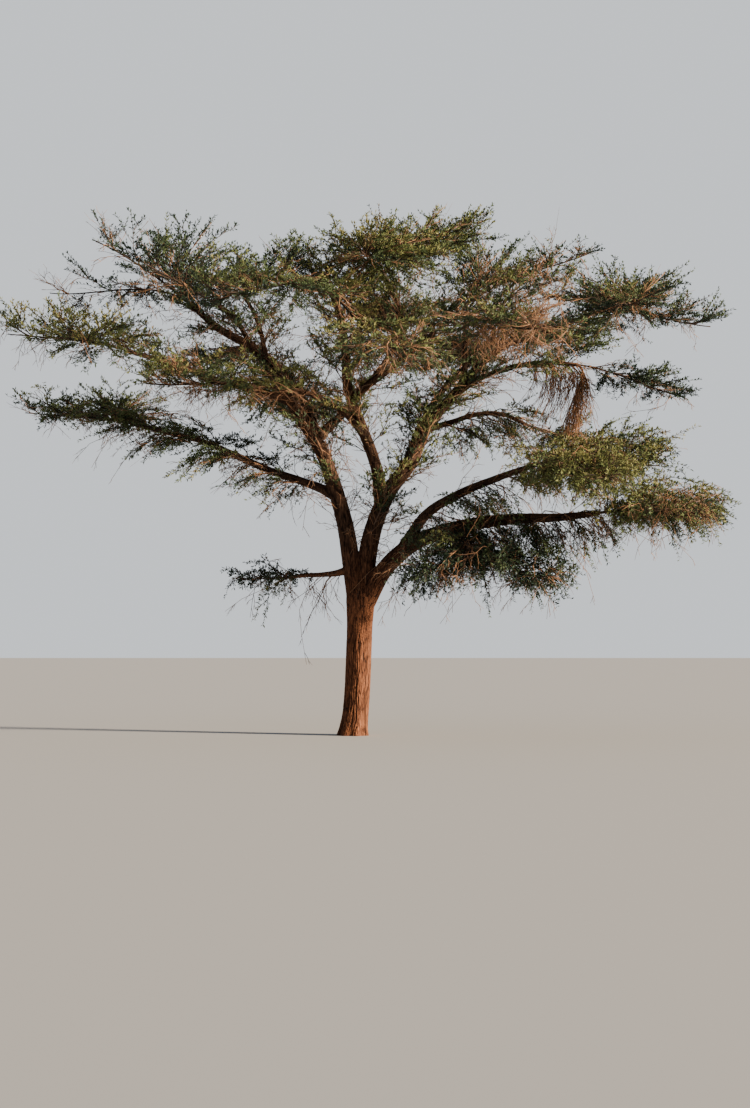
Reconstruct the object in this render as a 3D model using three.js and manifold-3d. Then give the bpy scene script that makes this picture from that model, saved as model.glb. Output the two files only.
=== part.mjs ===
// An umbrella thorn acacia, 7.5 m tall and 10 m across: one leaning trunk that forks at chest height
// into three rising boughs, and a wide, open crown of flat masses of small leaves, held one above another.
// Millimetres, +Z up. The origin is the middle of the flat cut under the trunk, at ground level.
// +X is to the right and +Y is away from someone who stands in front of the tree.
import * as THREE from "three";
import { mergeVertices } from "three/addons/utils/BufferGeometryUtils.js";
import Module from "manifold-3d";

const wasm = await Module();
wasm.setup();

// Fits and fineness
const GAP = 0.3; // between two pieces that touch
const SAME_POINT = 0.001; // corners this near to each other are one
const SMALLEST_EDGE = 0.5; // edges shorter than this are closed up after joining
const SMALLEST_LEAF_EDGE = 2.5; // the same on a mass of leaves
const TRUNK_SIDES = 18;
const TRUNK_STEPS = 8;
const LIMB_SIDES = 8;
const LIMB_STEP = 560; // length of limb between two rings
const FEWEST_BENDS = 4; // in the route of a short bough
const STEM_SIDES = 4;
const STEM_STEPS = 3;
const TWIG_SIDES = 3;
const PROBE_STEP = 50; // between the points at which a clearance is tested

// Trunk: a slightly fluted post, leaning right, with a flare of roots at its foot and a swollen crotch
const TRUNK = {
  spine: [[0, 0, 0], [48, 0, 500], [82, 5, 1340], [104, 10, 2160]],
  footRadius: 218,
  waistRadius: 174,
  flareFall: 148, // height over which the flare fades to about a third
  flutes: 7,
  fluteDepth: 0.06, // as a share of the radius, at the foot
  fluteRest: 0.35, // what is left of the flutes above the flare
  fluteTwist: 2.2, // how far the flutes turn round from foot to crotch, in radians
  crotchSwell: 0.14, // as a share of the radius
  crotchFrom: [0.7, 0.9], // shares of the height between which the swelling comes
  crotchRound: 0.4, // how far the top is drawn in between the boughs
  crotchRoundFrom: 0.89,
};
const FORK_STUB = 760; // length of each main bough that is one with the trunk
const LIMB_TAPER = 0.85; // power of the taper: below 1 a bough keeps its thickness longer

// Boughs. bearing is in degrees in plan, 0 to the right and 90 away, and rise is in degrees above level.
// Both are given at evenly spaced stations from the bough's root to its tip. A bough with from grows out of
// that bough, a share at of the way along it.
const LIMBS = [
  { name: "bough_left", start: [50, 15, 1840], length: 5140, radius: [132, 36],
    bearing: [178, 170, 172, 178, 182, 186, 186, 184, 182, 180, 178, 178, 176],
    rise: [78, 84, 81, 76, 71, 69, 57, 57, 66, 44, 31, 31, 60] },
  { name: "bough_right", start: [150, 30, 1840], length: 3860, radius: [142, 52],
    bearing: [0, 20, 10, 4, 4, 6, 4, 0, 0], rise: [88, 86, 76, 66, 54, 68, 50, 49, 48] },
  { name: "bough_low_right", start: [170, -30, 1860], length: 3900, radius: [130, 36],
    bearing: [345, 345, 338, 334, 332, 332, 334, 338], rise: [66, 54, 26, 12, 8, 0, 0, 10] },
  { name: "bough_left_inner", from: "bough_left", at: 0.475, length: 2150, radius: [66, 34],
    bearing: [30, 42, 50, 50], rise: [38, 42, 42, 48] },
  { name: "bough_left_layer", from: "bough_left", at: 0.6, length: 2550, radius: [52, 30],
    bearing: [200, 210, 210, 208, 206, 204], rise: [24, 4, 14, 17, 10, 16] },
  { name: "bough_left_low", from: "bough_left", at: 0.31, length: 3400, radius: [60, 26],
    bearing: [165, 160, 160, 162, 164, 164], rise: [24, 17, 24, 22, 12, 16] },
  { name: "bough_left_upright", from: "bough_left", at: 0.73, length: 1050, radius: [36, 24],
    bearing: [140, 140, 138, 130], rise: [86, 74, 60, 45] },
  { name: "bough_left_front", from: "bough_left", at: 0.78, length: 1300, radius: [38, 26],
    bearing: [250, 255, 250, 240], rise: [30, 24, 16, 10] },
  { name: "bough_left_lowest", from: "bough_left", at: 0.1, length: 900, radius: [40, 24],
    bearing: [176, 178, 180, 172], rise: [-20, -6, -2, -8] },
  { name: "bough_back_left", from: "bough_left", at: 0.4, length: 3500, radius: [62, 28],
    bearing: [110, 112, 116, 118], rise: [52, 40, 30, 24] },
  { name: "bough_centre", from: "bough_right", at: 0.38, length: 3950, radius: [88, 34],
    bearing: [180, 185, 190, 262, 264, 260, 256], rise: [88, 70, 70, 60, 38, 18, 8] },
  { name: "bough_centre_left", from: "bough_centre", at: 0.255, length: 2150, radius: [42, 24],
    bearing: [216, 214, 212, 212, 206], rise: [50, 28, 14, 0, 4] },
  { name: "bough_centre_right", from: "bough_centre", at: 0.4, length: 1800, radius: [56, 32],
    bearing: [318, 316, 314, 318], rise: [26, 24, 26, 28] },
  { name: "bough_centre_top", from: "bough_centre_right", at: 0.6, length: 1250, radius: [38, 26],
    bearing: [60, 90, 150, 160], rise: [70, 76, 66, 66] },
  { name: "bough_back_right", from: "bough_right", at: 0.53, length: 3500, radius: [62, 28],
    bearing: [70, 64, 56, 50], rise: [50, 42, 32, 24] },
  { name: "bough_right_arch", from: "bough_right", at: 0.7, length: 1750, radius: [42, 24],
    bearing: [30, 28, 26, 24], rise: [14, 20, 2, -30] },
  { name: "bough_right_upright", from: "bough_right", at: 0.93, length: 950, radius: [42, 28],
    bearing: [90, 80, 80], rise: [78, 82, 80] },
  { name: "bough_right_mid", from: "bough_right", at: 0.82, length: 2050, radius: [38, 24],
    bearing: [345, 340, 345, 348, 350], rise: [44, 28, 14, 2, -12] },
  { name: "bough_right_high", from: "bough_right", length: 1800, radius: [44, 28],
    bearing: [350, 342, 340, 340], rise: [52, 18, 16, 20] },
  { name: "bough_low_right_upper", from: "bough_low_right", at: 0.24, length: 2350, radius: [76, 34],
    bearing: [350, 340, 338, 336, 336], rise: [78, 36, 24, 16, 18] },
  { name: "bough_hanging", from: "bough_low_right", at: 0.5, length: 620, radius: [30, 24],
    bearing: [250, 270, 290], rise: [20, -20, -50] },
];

// Masses of foliage, one row each: the mass's name, the bough whose tip carries its stem, the middle of its
// space, the space's half length, half width and half height, and the bearing and rise of its length.
const MASSES = [
  ["leaves_left_top_tip", "bough_left", [-3050, -350, 6900], [820, 750, 460], 182, 22],
  ["leaves_left_top_reach", "bough_left", [-3680, 500, 6420], [1000, 850, 400], 172, 8],
  ["leaves_left_top", "bough_left", [-2350, 300, 6950], [960, 1000, 500], 100, 20],
  ["leaves_left_top_back", "bough_left_upright", [-2300, 2200, 6780], [1120, 1100, 440], 118, 6],
  ["leaves_left_shoulder", "bough_left_upright", [-1250, 300, 6750], [800, 900, 500], 30, 18],
  ["leaves_left_front", "bough_left_front", [-2350, -2100, 6240], [1180, 1060, 420], 250, 6],
  ["leaves_left_layer_tip", "bough_left_layer", [-4050, -900, 5620], [960, 880, 360], 176, 6],
  ["leaves_left_layer", "bough_left_layer", [-3300, -2100, 5350], [1080, 1000, 420], 235, 4],
  ["leaves_left_low_tip", "bough_left_low", [-4100, 650, 4720], [900, 880, 420], 196, 4],
  ["leaves_left_low", "bough_left_low", [-3450, 2150, 4800], [1120, 1060, 440], 118, 6],
  ["leaves_left_inner", "bough_centre_left", [-2000, -1600, 4850], [1120, 920, 420], 196, 4],
  ["leaves_lowest", "bough_left_lowest", [-1200, 150, 2340], [640, 500, 260], 178, -6],
  ["leaves_centre_top", "bough_centre_top", [1150, 250, 7120], [1080, 1020, 520], 60, 14],
  ["leaves_centre_front_top", "bough_centre_top", [400, -1500, 6500], [1080, 1060, 520], 250, 10],
  ["leaves_centre_left_top", "bough_left_inner", [-250, 1000, 6650], [980, 1000, 500], 170, 20],
  ["leaves_back_centre", "bough_left_inner", [550, 2650, 6400], [1220, 1160, 480], 80, 14],
  ["leaves_centre_front_right", "bough_centre_right", [2100, -1500, 6050], [1060, 1060, 500], 10, 12],
  ["leaves_front_right", "bough_centre_right", [1900, -3300, 5350], [1160, 1040, 480], 300, 0],
  ["leaves_front_left", "bough_centre", [-1000, -3500, 5720], [1140, 1040, 440], 215, 6],
  ["leaves_front_centre", "bough_centre", [400, -3880, 5020], [1100, 1000, 540], 290, 0],
  ["leaves_back_left", "bough_back_left", [-2250, 3700, 5740], [1160, 1040, 420], 140, 4],
  ["leaves_back_low", "bough_back_left", [-950, 3800, 5100], [1160, 1000, 460], 60, 2],
  ["leaves_right_top", "bough_right_upright", [2100, 1150, 6820], [1060, 1000, 500], 90, 18],
  ["leaves_right_tuft", "bough_right_upright", [2900, 100, 6800], [660, 660, 400], 350, 24],
  ["leaves_right_high", "bough_right_high", [3500, -1900, 5850], [1060, 960, 460], 290, 6],
  ["leaves_right_far_high", "bough_right_high", [3800, 850, 6420], [1000, 1050, 460], 60, 8],
  ["leaves_right_tip", "bough_right_high", [4350, -450, 5920], [900, 780, 400], 0, -4],
  ["leaves_right_mid", "bough_right_mid", [4080, -500, 4960], [800, 720, 320], 355, -12],
  ["twigs_dry_column", "bough_right_mid", [2950, -150, 4620], [600, 260, 260], 0, -80],
  ["leaves_right_back_high", "bough_back_right", [3100, 2900, 6100], [1160, 1100, 460], 35, 6],
  ["leaves_right_back_low", "bough_back_right", [1500, 3720, 5900], [1060, 1000, 440], 110, 6],
  ["leaves_right_small", "bough_right_arch", [3650, 1250, 4300], [1050, 820, 360], 10, 4],
  ["leaves_right_low_front", "bough_low_right_upper", [2900, -2350, 3620], [1080, 1000, 600], 300, 0],
  ["leaves_right_low_mid", "bough_low_right_upper", [3600, -750, 3900], [1020, 920, 480], 0, 0],
  ["leaves_right_low", "bough_low_right", [4100, -1800, 3200], [1000, 900, 520], 320, -4],
  ["leaves_right_low_tip", "bough_low_right", [4480, -450, 3300], [860, 850, 480], 25, 0],
  ["leaves_hanging_left", "bough_hanging", [1200, -1300, 2450], [740, 620, 500], 190, -14],
  ["leaves_hanging_right", "bough_hanging", [2280, -1400, 2420], [780, 620, 500], 345, -14],
].map(([name, on, middle, half, bearing, rise]) => ({ name, on, middle, half, bearing, rise }));
const DRY_MASSES = ["twigs_dry_column"]; // bare dead twigs

// The rule that fills a mass with twigs and sprays of leaves
const STEM_END = 0.5; // how far from the middle of a mass to its far end its stem reaches
const STEM_LEVEL = -0.35; // how high the stem runs, as a share of the half height
const STEM_LEAD = 0.3; // how long a stem keeps its bough's heading, as a share of the distance
const STEM_BARE = 0.12; // share of the stem, next to the bough, without twigs
const STEM_STATIONS = 40; // places along the stem that are tried for a twig's root
const STEM_SHARE = { 1: 0.85, 2: 0.44, 3: 0.34 }; // a stem's radius, where so many leave a tip of radius 1
const STEM_OFFSET = 0.54; // how far from the middle of the tip each of them stands, as a share too
const STEM_TIP_RADIUS = 13;
const TWIGS_IN_MASS = 6;
const TWIG_RADIUS = [9, 7]; // at the root and at the tip
const TWIG_SPREAD = 0.62; // how near to the edge of the space the outermost twig ends
const TWIG_FIRST = 0.7; // where the spiral of the twigs' ends begins, in turns of one twig
const TWIG_SINK = 0.35; // how far below the middle of the space the lowest ends lie
const TWIG_LEAD = 0.8; // how far back along the stem a twig starts, as a share of its reach sideways
const TWIG_STEP = 0.03; // least share of the stem between the places where two twigs start
const SPRAY = { length: 740, width: 400, thickness: 18, root: 2.5, bareHalf: 9 };
const SPRAY_BELLY = 0.56; // where a spray is widest
const SPRAY_SIZE = [0.8, 1.2]; // of the sprays, from least to most
const SPRAY_RISE = [0, 0.8]; // slope of the sprays, from least to most
const SPRAY_TILT = 42; // most degrees that a spray leans
const SIDE_TURN = 50; // degrees between a side spray and its twig
const SIDE_AT = 0.35; // where along its twig a side spray starts
const SHORTER = [1, 0.85, 0.7, 0.55, 0.4]; // lengths that are tried before a spray is left out
const BARE_TIP = { length: 60, half: 6 }; // of a twig that has no room for a spray
const ROOT_VOLUME = { twig: 16000, spray: 4500 }; // most that a root shares with its parent, in mm3
const SPACE_MARGIN = 16; // between two neighbouring spaces
const DRAW_IN = { step: 0.08, most: 20 }; // how a twig's end is brought inside its space
const LIMB_CLEARANCE = 14; // between leaves or twigs and a limb that isn't theirs
const GOLDEN_ANGLE = Math.PI * (3 - Math.sqrt(5));
const CHOICE = { spin: 0, level: 1, spray: 30, side: 60 }; // which of a seed's numbers settles what
const SEED_STEP = 0.37; // between the seeds of two twigs of a mass

const BARK = new THREE.MeshStandardMaterial({ color: 0x7a4e36, roughness: 0.95, metalness: 0 });
const LEAF = new THREE.MeshStandardMaterial({ color: 0x6f7a3c, roughness: 0.8, metalness: 0 });
const DRY = new THREE.MeshStandardMaterial({ color: 0x9a6f4a, roughness: 0.95, metalness: 0 });

const radians = THREE.MathUtils.degToRad;
const vector = (place) => new THREE.Vector3(...place);

// A repeatable number from 0 to 1 for the k-th choice made with a seed.
function chance(seed, k) {
  const x = Math.sin(12.9898 * k + 78.233 * seed) * 43758.5453;
  return x - Math.floor(x);
}

// The unit direction at a bearing in plan and a rise above level, both in degrees.
function direction(bearing, rise) {
  const b = radians(bearing);
  const r = radians(rise);
  return new THREE.Vector3(Math.cos(b) * Math.cos(r), Math.sin(b) * Math.cos(r), Math.sin(r));
}

// The value of a list of evenly spaced stations at a share from 0 to 1.
function alongStations(values, share) {
  const place = share * (values.length - 1);
  const k = Math.min(Math.floor(place), values.length - 2);
  return values[k] + (values[k + 1] - values[k]) * (place - k);
}

// A closed solid for joining and cutting, from a three.js geometry.
function solidOf(geometry) {
  const bare = geometry.clone();
  bare.deleteAttribute("normal");
  bare.deleteAttribute("uv");
  const merged = mergeVertices(bare, SAME_POINT);
  return new wasm.Manifold(
    new wasm.Mesh({
      numProp: 3,
      vertProperties: merged.attributes.position.array,
      triVerts: new Uint32Array(merged.index.array),
    }),
  );
}

// Every shape joined into one, tidied, and left with its largest body only.
function fused(solids, smallestEdge = SMALLEST_EDGE) {
  const joined = wasm.Manifold.union(solids).simplify(smallestEdge);
  return joined.decompose().reduce((best, body) => (body.volume() > best.volume() ? body : best));
}

// A three.js mesh with a name, from a solid.
function meshOf(name, solid, material) {
  const { vertProperties, triVerts, numProp } = solid.getMesh();
  const places = [];
  for (let k = 0; k < vertProperties.length; k += numProp) places.push(...vertProperties.subarray(k, k + 3));
  const geometry = new THREE.BufferGeometry();
  geometry.setAttribute("position", new THREE.Float32BufferAttribute(places, 3));
  geometry.setIndex([...triVerts]);
  geometry.computeVertexNormals();
  const mesh = new THREE.Mesh(geometry, material);
  mesh.name = name;
  return mesh;
}

// A cylinder bent along a curve. radiusAt(share, angle) gives its radius. Its two ends are flat, and lie
// beyond the curve's own by extra.
function bentCylinder(curve, radiusAt, sides, steps, extra = 0) {
  const geometry = new THREE.CylinderGeometry(1, 1, 1, sides, steps);
  const frames = curve.computeFrenetFrames(steps);
  const spine = frames.tangents.map((_, k) => curve.getPointAt(k / steps));
  spine[0].addScaledVector(frames.tangents[0], -extra);
  spine[steps].addScaledVector(frames.tangents[steps], extra);
  const place = geometry.attributes.position;
  for (let k = 0; k < place.count; k++) {
    const ring = Math.round((place.getY(k) + 0.5) * steps);
    const angle = Math.atan2(place.getZ(k), place.getX(k));
    const radius = Math.hypot(place.getX(k), place.getZ(k)) * radiusAt(ring / steps, angle);
    const side = new THREE.Vector3().crossVectors(frames.normals[ring], frames.tangents[ring]);
    const point = spine[ring]
      .clone()
      .addScaledVector(frames.normals[ring], radius * Math.cos(angle))
      .addScaledVector(side, radius * Math.sin(angle));
    place.setXYZ(k, point.x, point.y, point.z);
  }
  return geometry;
}

// A limb's route from its root, stepping along its stations of bearing and rise.
function limbRoute(start, limb) {
  const steps = Math.max(FEWEST_BENDS, Math.round(limb.length / LIMB_STEP));
  const points = [start.clone()];
  for (let k = 0; k < steps; k++) {
    const share = (k + 0.5) / steps;
    const heading = direction(alongStations(limb.bearing, share), alongStations(limb.rise, share));
    points.push(points[k].clone().addScaledVector(heading, limb.length / steps));
  }
  return new THREE.CatmullRomCurve3(points, false, "centripetal");
}

// Each limb with its curve, its radius at a share of its length, and its steps.
function grownLimbs() {
  const grown = new Map();
  for (const limb of LIMBS) {
    const parent = grown.get(limb.from);
    const start = parent ? parent.curve.getPointAt(limb.at ?? 1) : vector(limb.start);
    const curve = limbRoute(start, limb);
    const [root, tip] = limb.radius;
    const radiusAt = (share) => tip + (root - tip) * Math.pow(1 - share, LIMB_TAPER);
    grown.set(limb.name, { ...limb, curve, radiusAt, steps: Math.round(curve.getLength() / LIMB_STEP) });
  }
  return grown;
}

// The solid of a whole limb, thicker and longer all round by extra.
function limbSolid(limb, extra = 0) {
  const radius = (share) => limb.radiusAt(share) + extra;
  return solidOf(bentCylinder(limb.curve, radius, LIMB_SIDES, limb.steps, extra));
}

// The part of a limb that lies past a length from its root, or with side -1 the part before it.
function limbPast(limb, length, side, extra = 0) {
  const share = length / limb.curve.getLength();
  const heading = limb.curve.getTangentAt(share).multiplyScalar(side);
  return limbSolid(limb, extra).trimByPlane(heading.toArray(), heading.dot(limb.curve.getPointAt(share)));
}

// The boughs that rise from the fork.
const mainLimbs = (limbs) => [...limbs.values()].filter((limb) => limb.start);

// The trunk from its flat foot to its fork, with the first stretch of each main bough.
function trunkSolid(limbs, extra = 0) {
  const curve = new THREE.CatmullRomCurve3(TRUNK.spine.map(vector));
  const height = curve.getLength();
  const radiusAt = (share, angle) => {
    const flare = Math.exp((-share * height) / TRUNK.flareFall);
    const swell = TRUNK.crotchSwell * THREE.MathUtils.smoothstep(share, ...TRUNK.crotchFrom);
    const closing = 1 - TRUNK.crotchRound * THREE.MathUtils.smoothstep(share, TRUNK.crotchRoundFrom, 1);
    const round = TRUNK.waistRadius + (TRUNK.footRadius - TRUNK.waistRadius) * flare;
    const depth = TRUNK.fluteDepth * (TRUNK.fluteRest + flare);
    const flute = depth * Math.cos(TRUNK.flutes * angle + TRUNK.fluteTwist * share);
    return round * (1 + swell + flute) * closing + extra;
  };
  const post = solidOf(bentCylinder(curve, radiusAt, TRUNK_SIDES, TRUNK_STEPS, extra));
  const stubs = mainLimbs(limbs).map((limb) => limbPast(limb, FORK_STUB, -1, extra));
  return fused([post, ...stubs]).trimByPlane([0, 0, 1], 0);
}

// The space that a mass keeps to: an egg-shaped place, cut by a flat wall wherever a neighbour comes close.
function openSpace(mass) {
  const along = direction(mass.bearing, mass.rise);
  const across = direction(mass.bearing + 90, 0);
  const up = new THREE.Vector3().crossVectors(along, across);
  return { middle: vector(mass.middle), axes: [along, across, up], half: mass.half, walls: [] };
}

// How far a space reaches from its middle in a direction.
const reachAlong = (space, normal) =>
  Math.hypot(...space.axes.map((axis, k) => space.half[k] * axis.dot(normal)));

// Puts a wall between two spaces that would meet, at the place that shares the room by their reach.
function divide(a, b) {
  const normal = b.middle.clone().sub(a.middle);
  const apart = normal.length();
  normal.divideScalar(apart);
  const reach = [reachAlong(a, normal), reachAlong(b, normal)];
  if (reach[0] + reach[1] < apart - SPACE_MARGIN) return;
  const wall = normal.dot(a.middle) + (apart * reach[0]) / (reach[0] + reach[1]);
  a.walls.push({ normal, offset: wall - SPACE_MARGIN / 2 });
  b.walls.push({ normal: normal.clone().negate(), offset: -wall - SPACE_MARGIN / 2 });
}

// Whether a point lies in a space.
function holds(space, point) {
  const from = point.clone().sub(space.middle);
  const out = Math.hypot(...space.axes.map((axis, k) => from.dot(axis) / space.half[k]));
  return out <= 1 && space.walls.every(({ normal, offset }) => normal.dot(point) <= offset);
}

// A point drawn in towards the middle of a space until the space holds it.
function drawnIn(space, point) {
  const inside = point.clone();
  for (let k = 0; k < DRAW_IN.most && !holds(space, inside); k++) inside.lerp(space.middle, DRAW_IN.step);
  return inside;
}

// The stem of a mass: out of its bough's tip, side by side with the other stems there, and on to the far
// end of the mass.
function stemOf(mass, space, limb, companions) {
  const tip = limb.curve.getPointAt(1);
  const lead = limb.curve.getTangentAt(1);
  const headings = companions.map((other) => vector(other.middle).sub(tip).normalize());
  const mean = headings.reduce((sum, heading) => sum.add(heading), new THREE.Vector3());
  const own = vector(mass.middle).sub(tip).normalize();
  const aside = own.addScaledVector(mean, -1 / companions.length).projectOnPlane(lead).normalize();
  const root = tip.clone().addScaledVector(lead, GAP);
  if (companions.length > 1) root.addScaledVector(aside, STEM_OFFSET * limb.radiusAt(1));
  const end = space.middle.clone().addScaledVector(space.axes[0], STEM_END * space.half[0]);
  const far = drawnIn(space, end.addScaledVector(space.axes[2], STEM_LEVEL * space.half[2]));
  const distance = root.distanceTo(far) * STEM_LEAD;
  const bend = new THREE.CubicBezierCurve3(
    root,
    root.clone().addScaledVector(lead, distance),
    far.clone().addScaledVector(space.axes[0], -distance),
    far,
  );
  const points = Array.from({ length: STEM_STEPS + 1 }, (_, k) => bend.getPointAt(k / STEM_STEPS));
  const curve = new THREE.CurvePath();
  points.slice(1).forEach((point, k) => curve.add(new THREE.LineCurve3(points[k], point)));
  const rootRadius = limb.radiusAt(1) * STEM_SHARE[companions.length];
  return { curve, points, lead, radiusAt: (share) => rootRadius + (STEM_TIP_RADIUS - rootRadius) * share };
}

// Points every few centimetres along a limb or stem, each with its thickness, for testing clearances.
function probes(owner, { curve, radiusAt }) {
  const count = Math.ceil(curve.getLength() / PROBE_STEP);
  return Array.from({ length: count + 1 }, (_, k) => ({
    owner,
    point: curve.getPointAt(k / count),
    radius: radiusAt(k / count),
  }));
}

// Whether the straight line between two points keeps its width clear of every limb and stem but its own.
function clear(obstacles, owner, from, to, width) {
  const count = Math.ceil(from.distanceTo(to) / PROBE_STEP);
  for (let k = 0; k <= count; k++) {
    const point = from.clone().lerp(to, k / count);
    const touches = obstacles.some(
      (obstacle) =>
        obstacle.owner !== owner &&
        obstacle.point.distanceToSquared(point) < (obstacle.radius + width + LIMB_CLEARANCE) ** 2,
    );
    if (touches) return false;
  }
  return true;
}

// The twigs of a mass. Their ends are spread over the space in a spiral, and each starts from the stem,
// some way back from the point that lies nearest to its end.
function twigsOf(mass, space, stem, obstacles, seed) {
  const twigs = [];
  const stations = Array.from({ length: STEM_STATIONS + 1 }, (_, k) => k / STEM_STATIONS);
  const inSpace = stations.filter(
    (share) => share > STEM_BARE && holds(space, stem.curve.getPointAt(share)),
  );
  for (let k = 0; k < TWIGS_IN_MASS; k++) {
    const angle = k * GOLDEN_ANGLE + 2 * Math.PI * chance(seed, CHOICE.spin);
    const out = TWIG_SPREAD * Math.sqrt((k + TWIG_FIRST) / TWIGS_IN_MASS);
    const level = (chance(seed, CHOICE.level + k) - TWIG_SINK) * Math.sqrt(1 - out * out);
    const end = space.middle.clone();
    [out * Math.cos(angle), out * Math.sin(angle), level].forEach((share, n) =>
      end.addScaledVector(space.axes[n], share * space.half[n]),
    );
    const tip = drawnIn(space, end);
    const distances = inSpace.map((share) => stem.curve.getPointAt(share).distanceTo(tip));
    const nearest = distances.indexOf(Math.min(...distances));
    const back = (TWIG_LEAD * distances[nearest]) / stem.curve.getLength();
    const share = Math.max(inSpace[nearest] - back, inSpace[0] + k * TWIG_STEP);
    const root = stem.curve.getPointAt(share);
    if (clear(obstacles, mass.name, root, tip, TWIG_RADIUS[0])) twigs.push([root, tip]);
  }
  return twigs;
}

// Where a spray of leaves points, the direction across its blade, and its size. turn is its angle from its
// twig, and first is the first of the three numbers of the seed that settle it.
function sprayFrame(along, turn, seed, first) {
  const [rise, lean, size] = [0, 1, 2].map((k) => chance(seed, first + k));
  const heading = along.clone().applyAxisAngle(new THREE.Vector3(0, 0, 1), radians(turn));
  heading.z = THREE.MathUtils.lerp(...SPRAY_RISE, rise);
  heading.normalize();
  const across = new THREE.Vector3(-heading.y, heading.x, 0).normalize();
  across.applyAxisAngle(heading, radians(SPRAY_TILT * (2 * lean - 1)));
  return { heading, across, size: THREE.MathUtils.lerp(...SPRAY_SIZE, size) };
}

// A stem or twig through the given points that widens at its end into a thin leaf-shaped blade with a ridge
// along it. Its flat root faces against lead.
function leafyTwig(points, lead, sides, radiusAt, { heading, across, length, half }) {
  const neck = points[points.length - 1];
  const belly = neck.clone().addScaledVector(heading, SPRAY_BELLY * length);
  const tip = neck.clone().addScaledVector(heading, length);
  const spine = [...points, belly, tip];
  const steps = spine.length - 1;
  const geometry = new THREE.ConeGeometry(1, 1, sides, steps);
  const place = geometry.attributes.position;
  for (let k = 0; k < place.count; k++) {
    const ring = Math.round((place.getY(k) + 0.5) * steps);
    const out = Math.hypot(place.getX(k), place.getZ(k)) > SAME_POINT ? 1 : 0;
    const angle = Math.atan2(place.getX(k), place.getZ(k));
    const inBlade = ring >= points.length;
    const along = inBlade ? heading : spine[ring + 1].clone().sub(spine[ring]).normalize();
    if (ring === 0) along.copy(lead);
    const side = across.clone().projectOnPlane(along).normalize();
    const normal = new THREE.Vector3().crossVectors(side, along);
    const radius = radiusAt(Math.min(ring / Math.max(points.length - 1, 1), 1));
    const width = out * (inBlade ? half : radius);
    const depth = out * (inBlade ? Math.min(half, SPRAY.thickness / 2) : radius);
    const point = spine[ring]
      .clone()
      .addScaledVector(side, width * Math.sin(angle))
      .addScaledVector(normal, depth * Math.cos(angle));
    place.setXYZ(k, point.x, point.y, point.z);
  }
  return solidOf(geometry);
}

// The longest blade of a spray that stays in the space and clear of limbs, as its length and half width.
function bladeThatFits(mass, space, obstacles, root, { heading, across, size }) {
  for (const shorter of SHORTER) {
    const length = SPRAY.length * size * shorter;
    const half = mass.dry ? SPRAY.bareHalf : (SPRAY.width / 2) * Math.sqrt(shorter);
    const belly = root.clone().addScaledVector(heading, SPRAY_BELLY * length);
    const tip = root.clone().addScaledVector(heading, length);
    const sides = [-half, half].map((out) => belly.clone().addScaledVector(across, out));
    const lines = [[root, tip], ...sides.flatMap((side) => [[root, side], [side, tip]])];
    if (![tip, ...sides].every((point) => holds(space, point))) continue;
    const free = lines.every(([a, b]) => clear(obstacles, mass.name, a, b, SPRAY.thickness / 2));
    if (free) return { length, half };
  }
  return null;
}

// A whole mass, fused: its stem and its twigs, each ending in a spray, and then sprays at the twigs' sides.
// Whatever would cross what is already there, beyond its own root, is left out.
function massSolid(mass, space, stem, obstacles, seed) {
  const twigs = twigsOf(mass, space, stem, obstacles, seed);
  const twigRadius = (share) => THREE.MathUtils.lerp(...TWIG_RADIUS, share);
  let grown = null;
  const grow = (solid, mostShared) => {
    const shared = grown ? grown.intersect(solid).volume() : 0;
    if (!grown) grown = solid;
    else if (shared > 0 && shared <= mostShared) grown = grown.add(solid);
  };
  [stem.points, ...twigs].forEach((points, k) => {
    const tip = points[points.length - 1];
    const along = tip.clone().sub(points[points.length - 2]).normalize();
    const frame = sprayFrame(along, 0, seed + SEED_STEP * k, CHOICE.spray);
    const blade = { ...frame, ...(bladeThatFits(mass, space, obstacles, tip, frame) ?? BARE_TIP) };
    const isStem = k === 0;
    const solid = isStem
      ? leafyTwig(points, stem.lead, STEM_SIDES, stem.radiusAt, blade)
      : leafyTwig(points, along, TWIG_SIDES, twigRadius, blade);
    grow(solid, ROOT_VOLUME.twig);
  });
  twigs.forEach(([from, to], k) => {
    if (k === 0) return;
    const turn = chance(seed, CHOICE.side + k) < 0.5 ? SIDE_TURN : -SIDE_TURN;
    const along = to.clone().sub(from).normalize();
    const frame = sprayFrame(along, turn, seed + SEED_STEP * k, CHOICE.spray + 3);
    const root = from.clone().lerp(to, SIDE_AT);
    const fit = bladeThatFits(mass, space, obstacles, root, frame);
    if (!fit) return;
    const blade = { ...frame, ...fit };
    grow(leafyTwig([root], frame.heading, TWIG_SIDES, () => SPRAY.root, blade), ROOT_VOLUME.spray);
  });
  return fused([grown], mass.dry ? SMALLEST_EDGE : SMALLEST_LEAF_EDGE);
}

const limbs = grownLimbs();
const tree = new THREE.Group();
tree.name = "acacia_tree";
tree.add(meshOf("trunk", trunkSolid(limbs), BARK));
const roundTrunk = trunkSolid(limbs, GAP);
for (const limb of limbs.values()) {
  if (limb.start) {
    tree.add(meshOf(limb.name, limbPast(limb, FORK_STUB + GAP, 1), BARK));
  } else {
    const parent = limbs.get(limb.from);
    const cut = limbSolid(limb).subtract(limbSolid(parent, GAP)).subtract(roundTrunk);
    tree.add(meshOf(limb.name, fused([cut]), BARK));
  }
}

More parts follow.
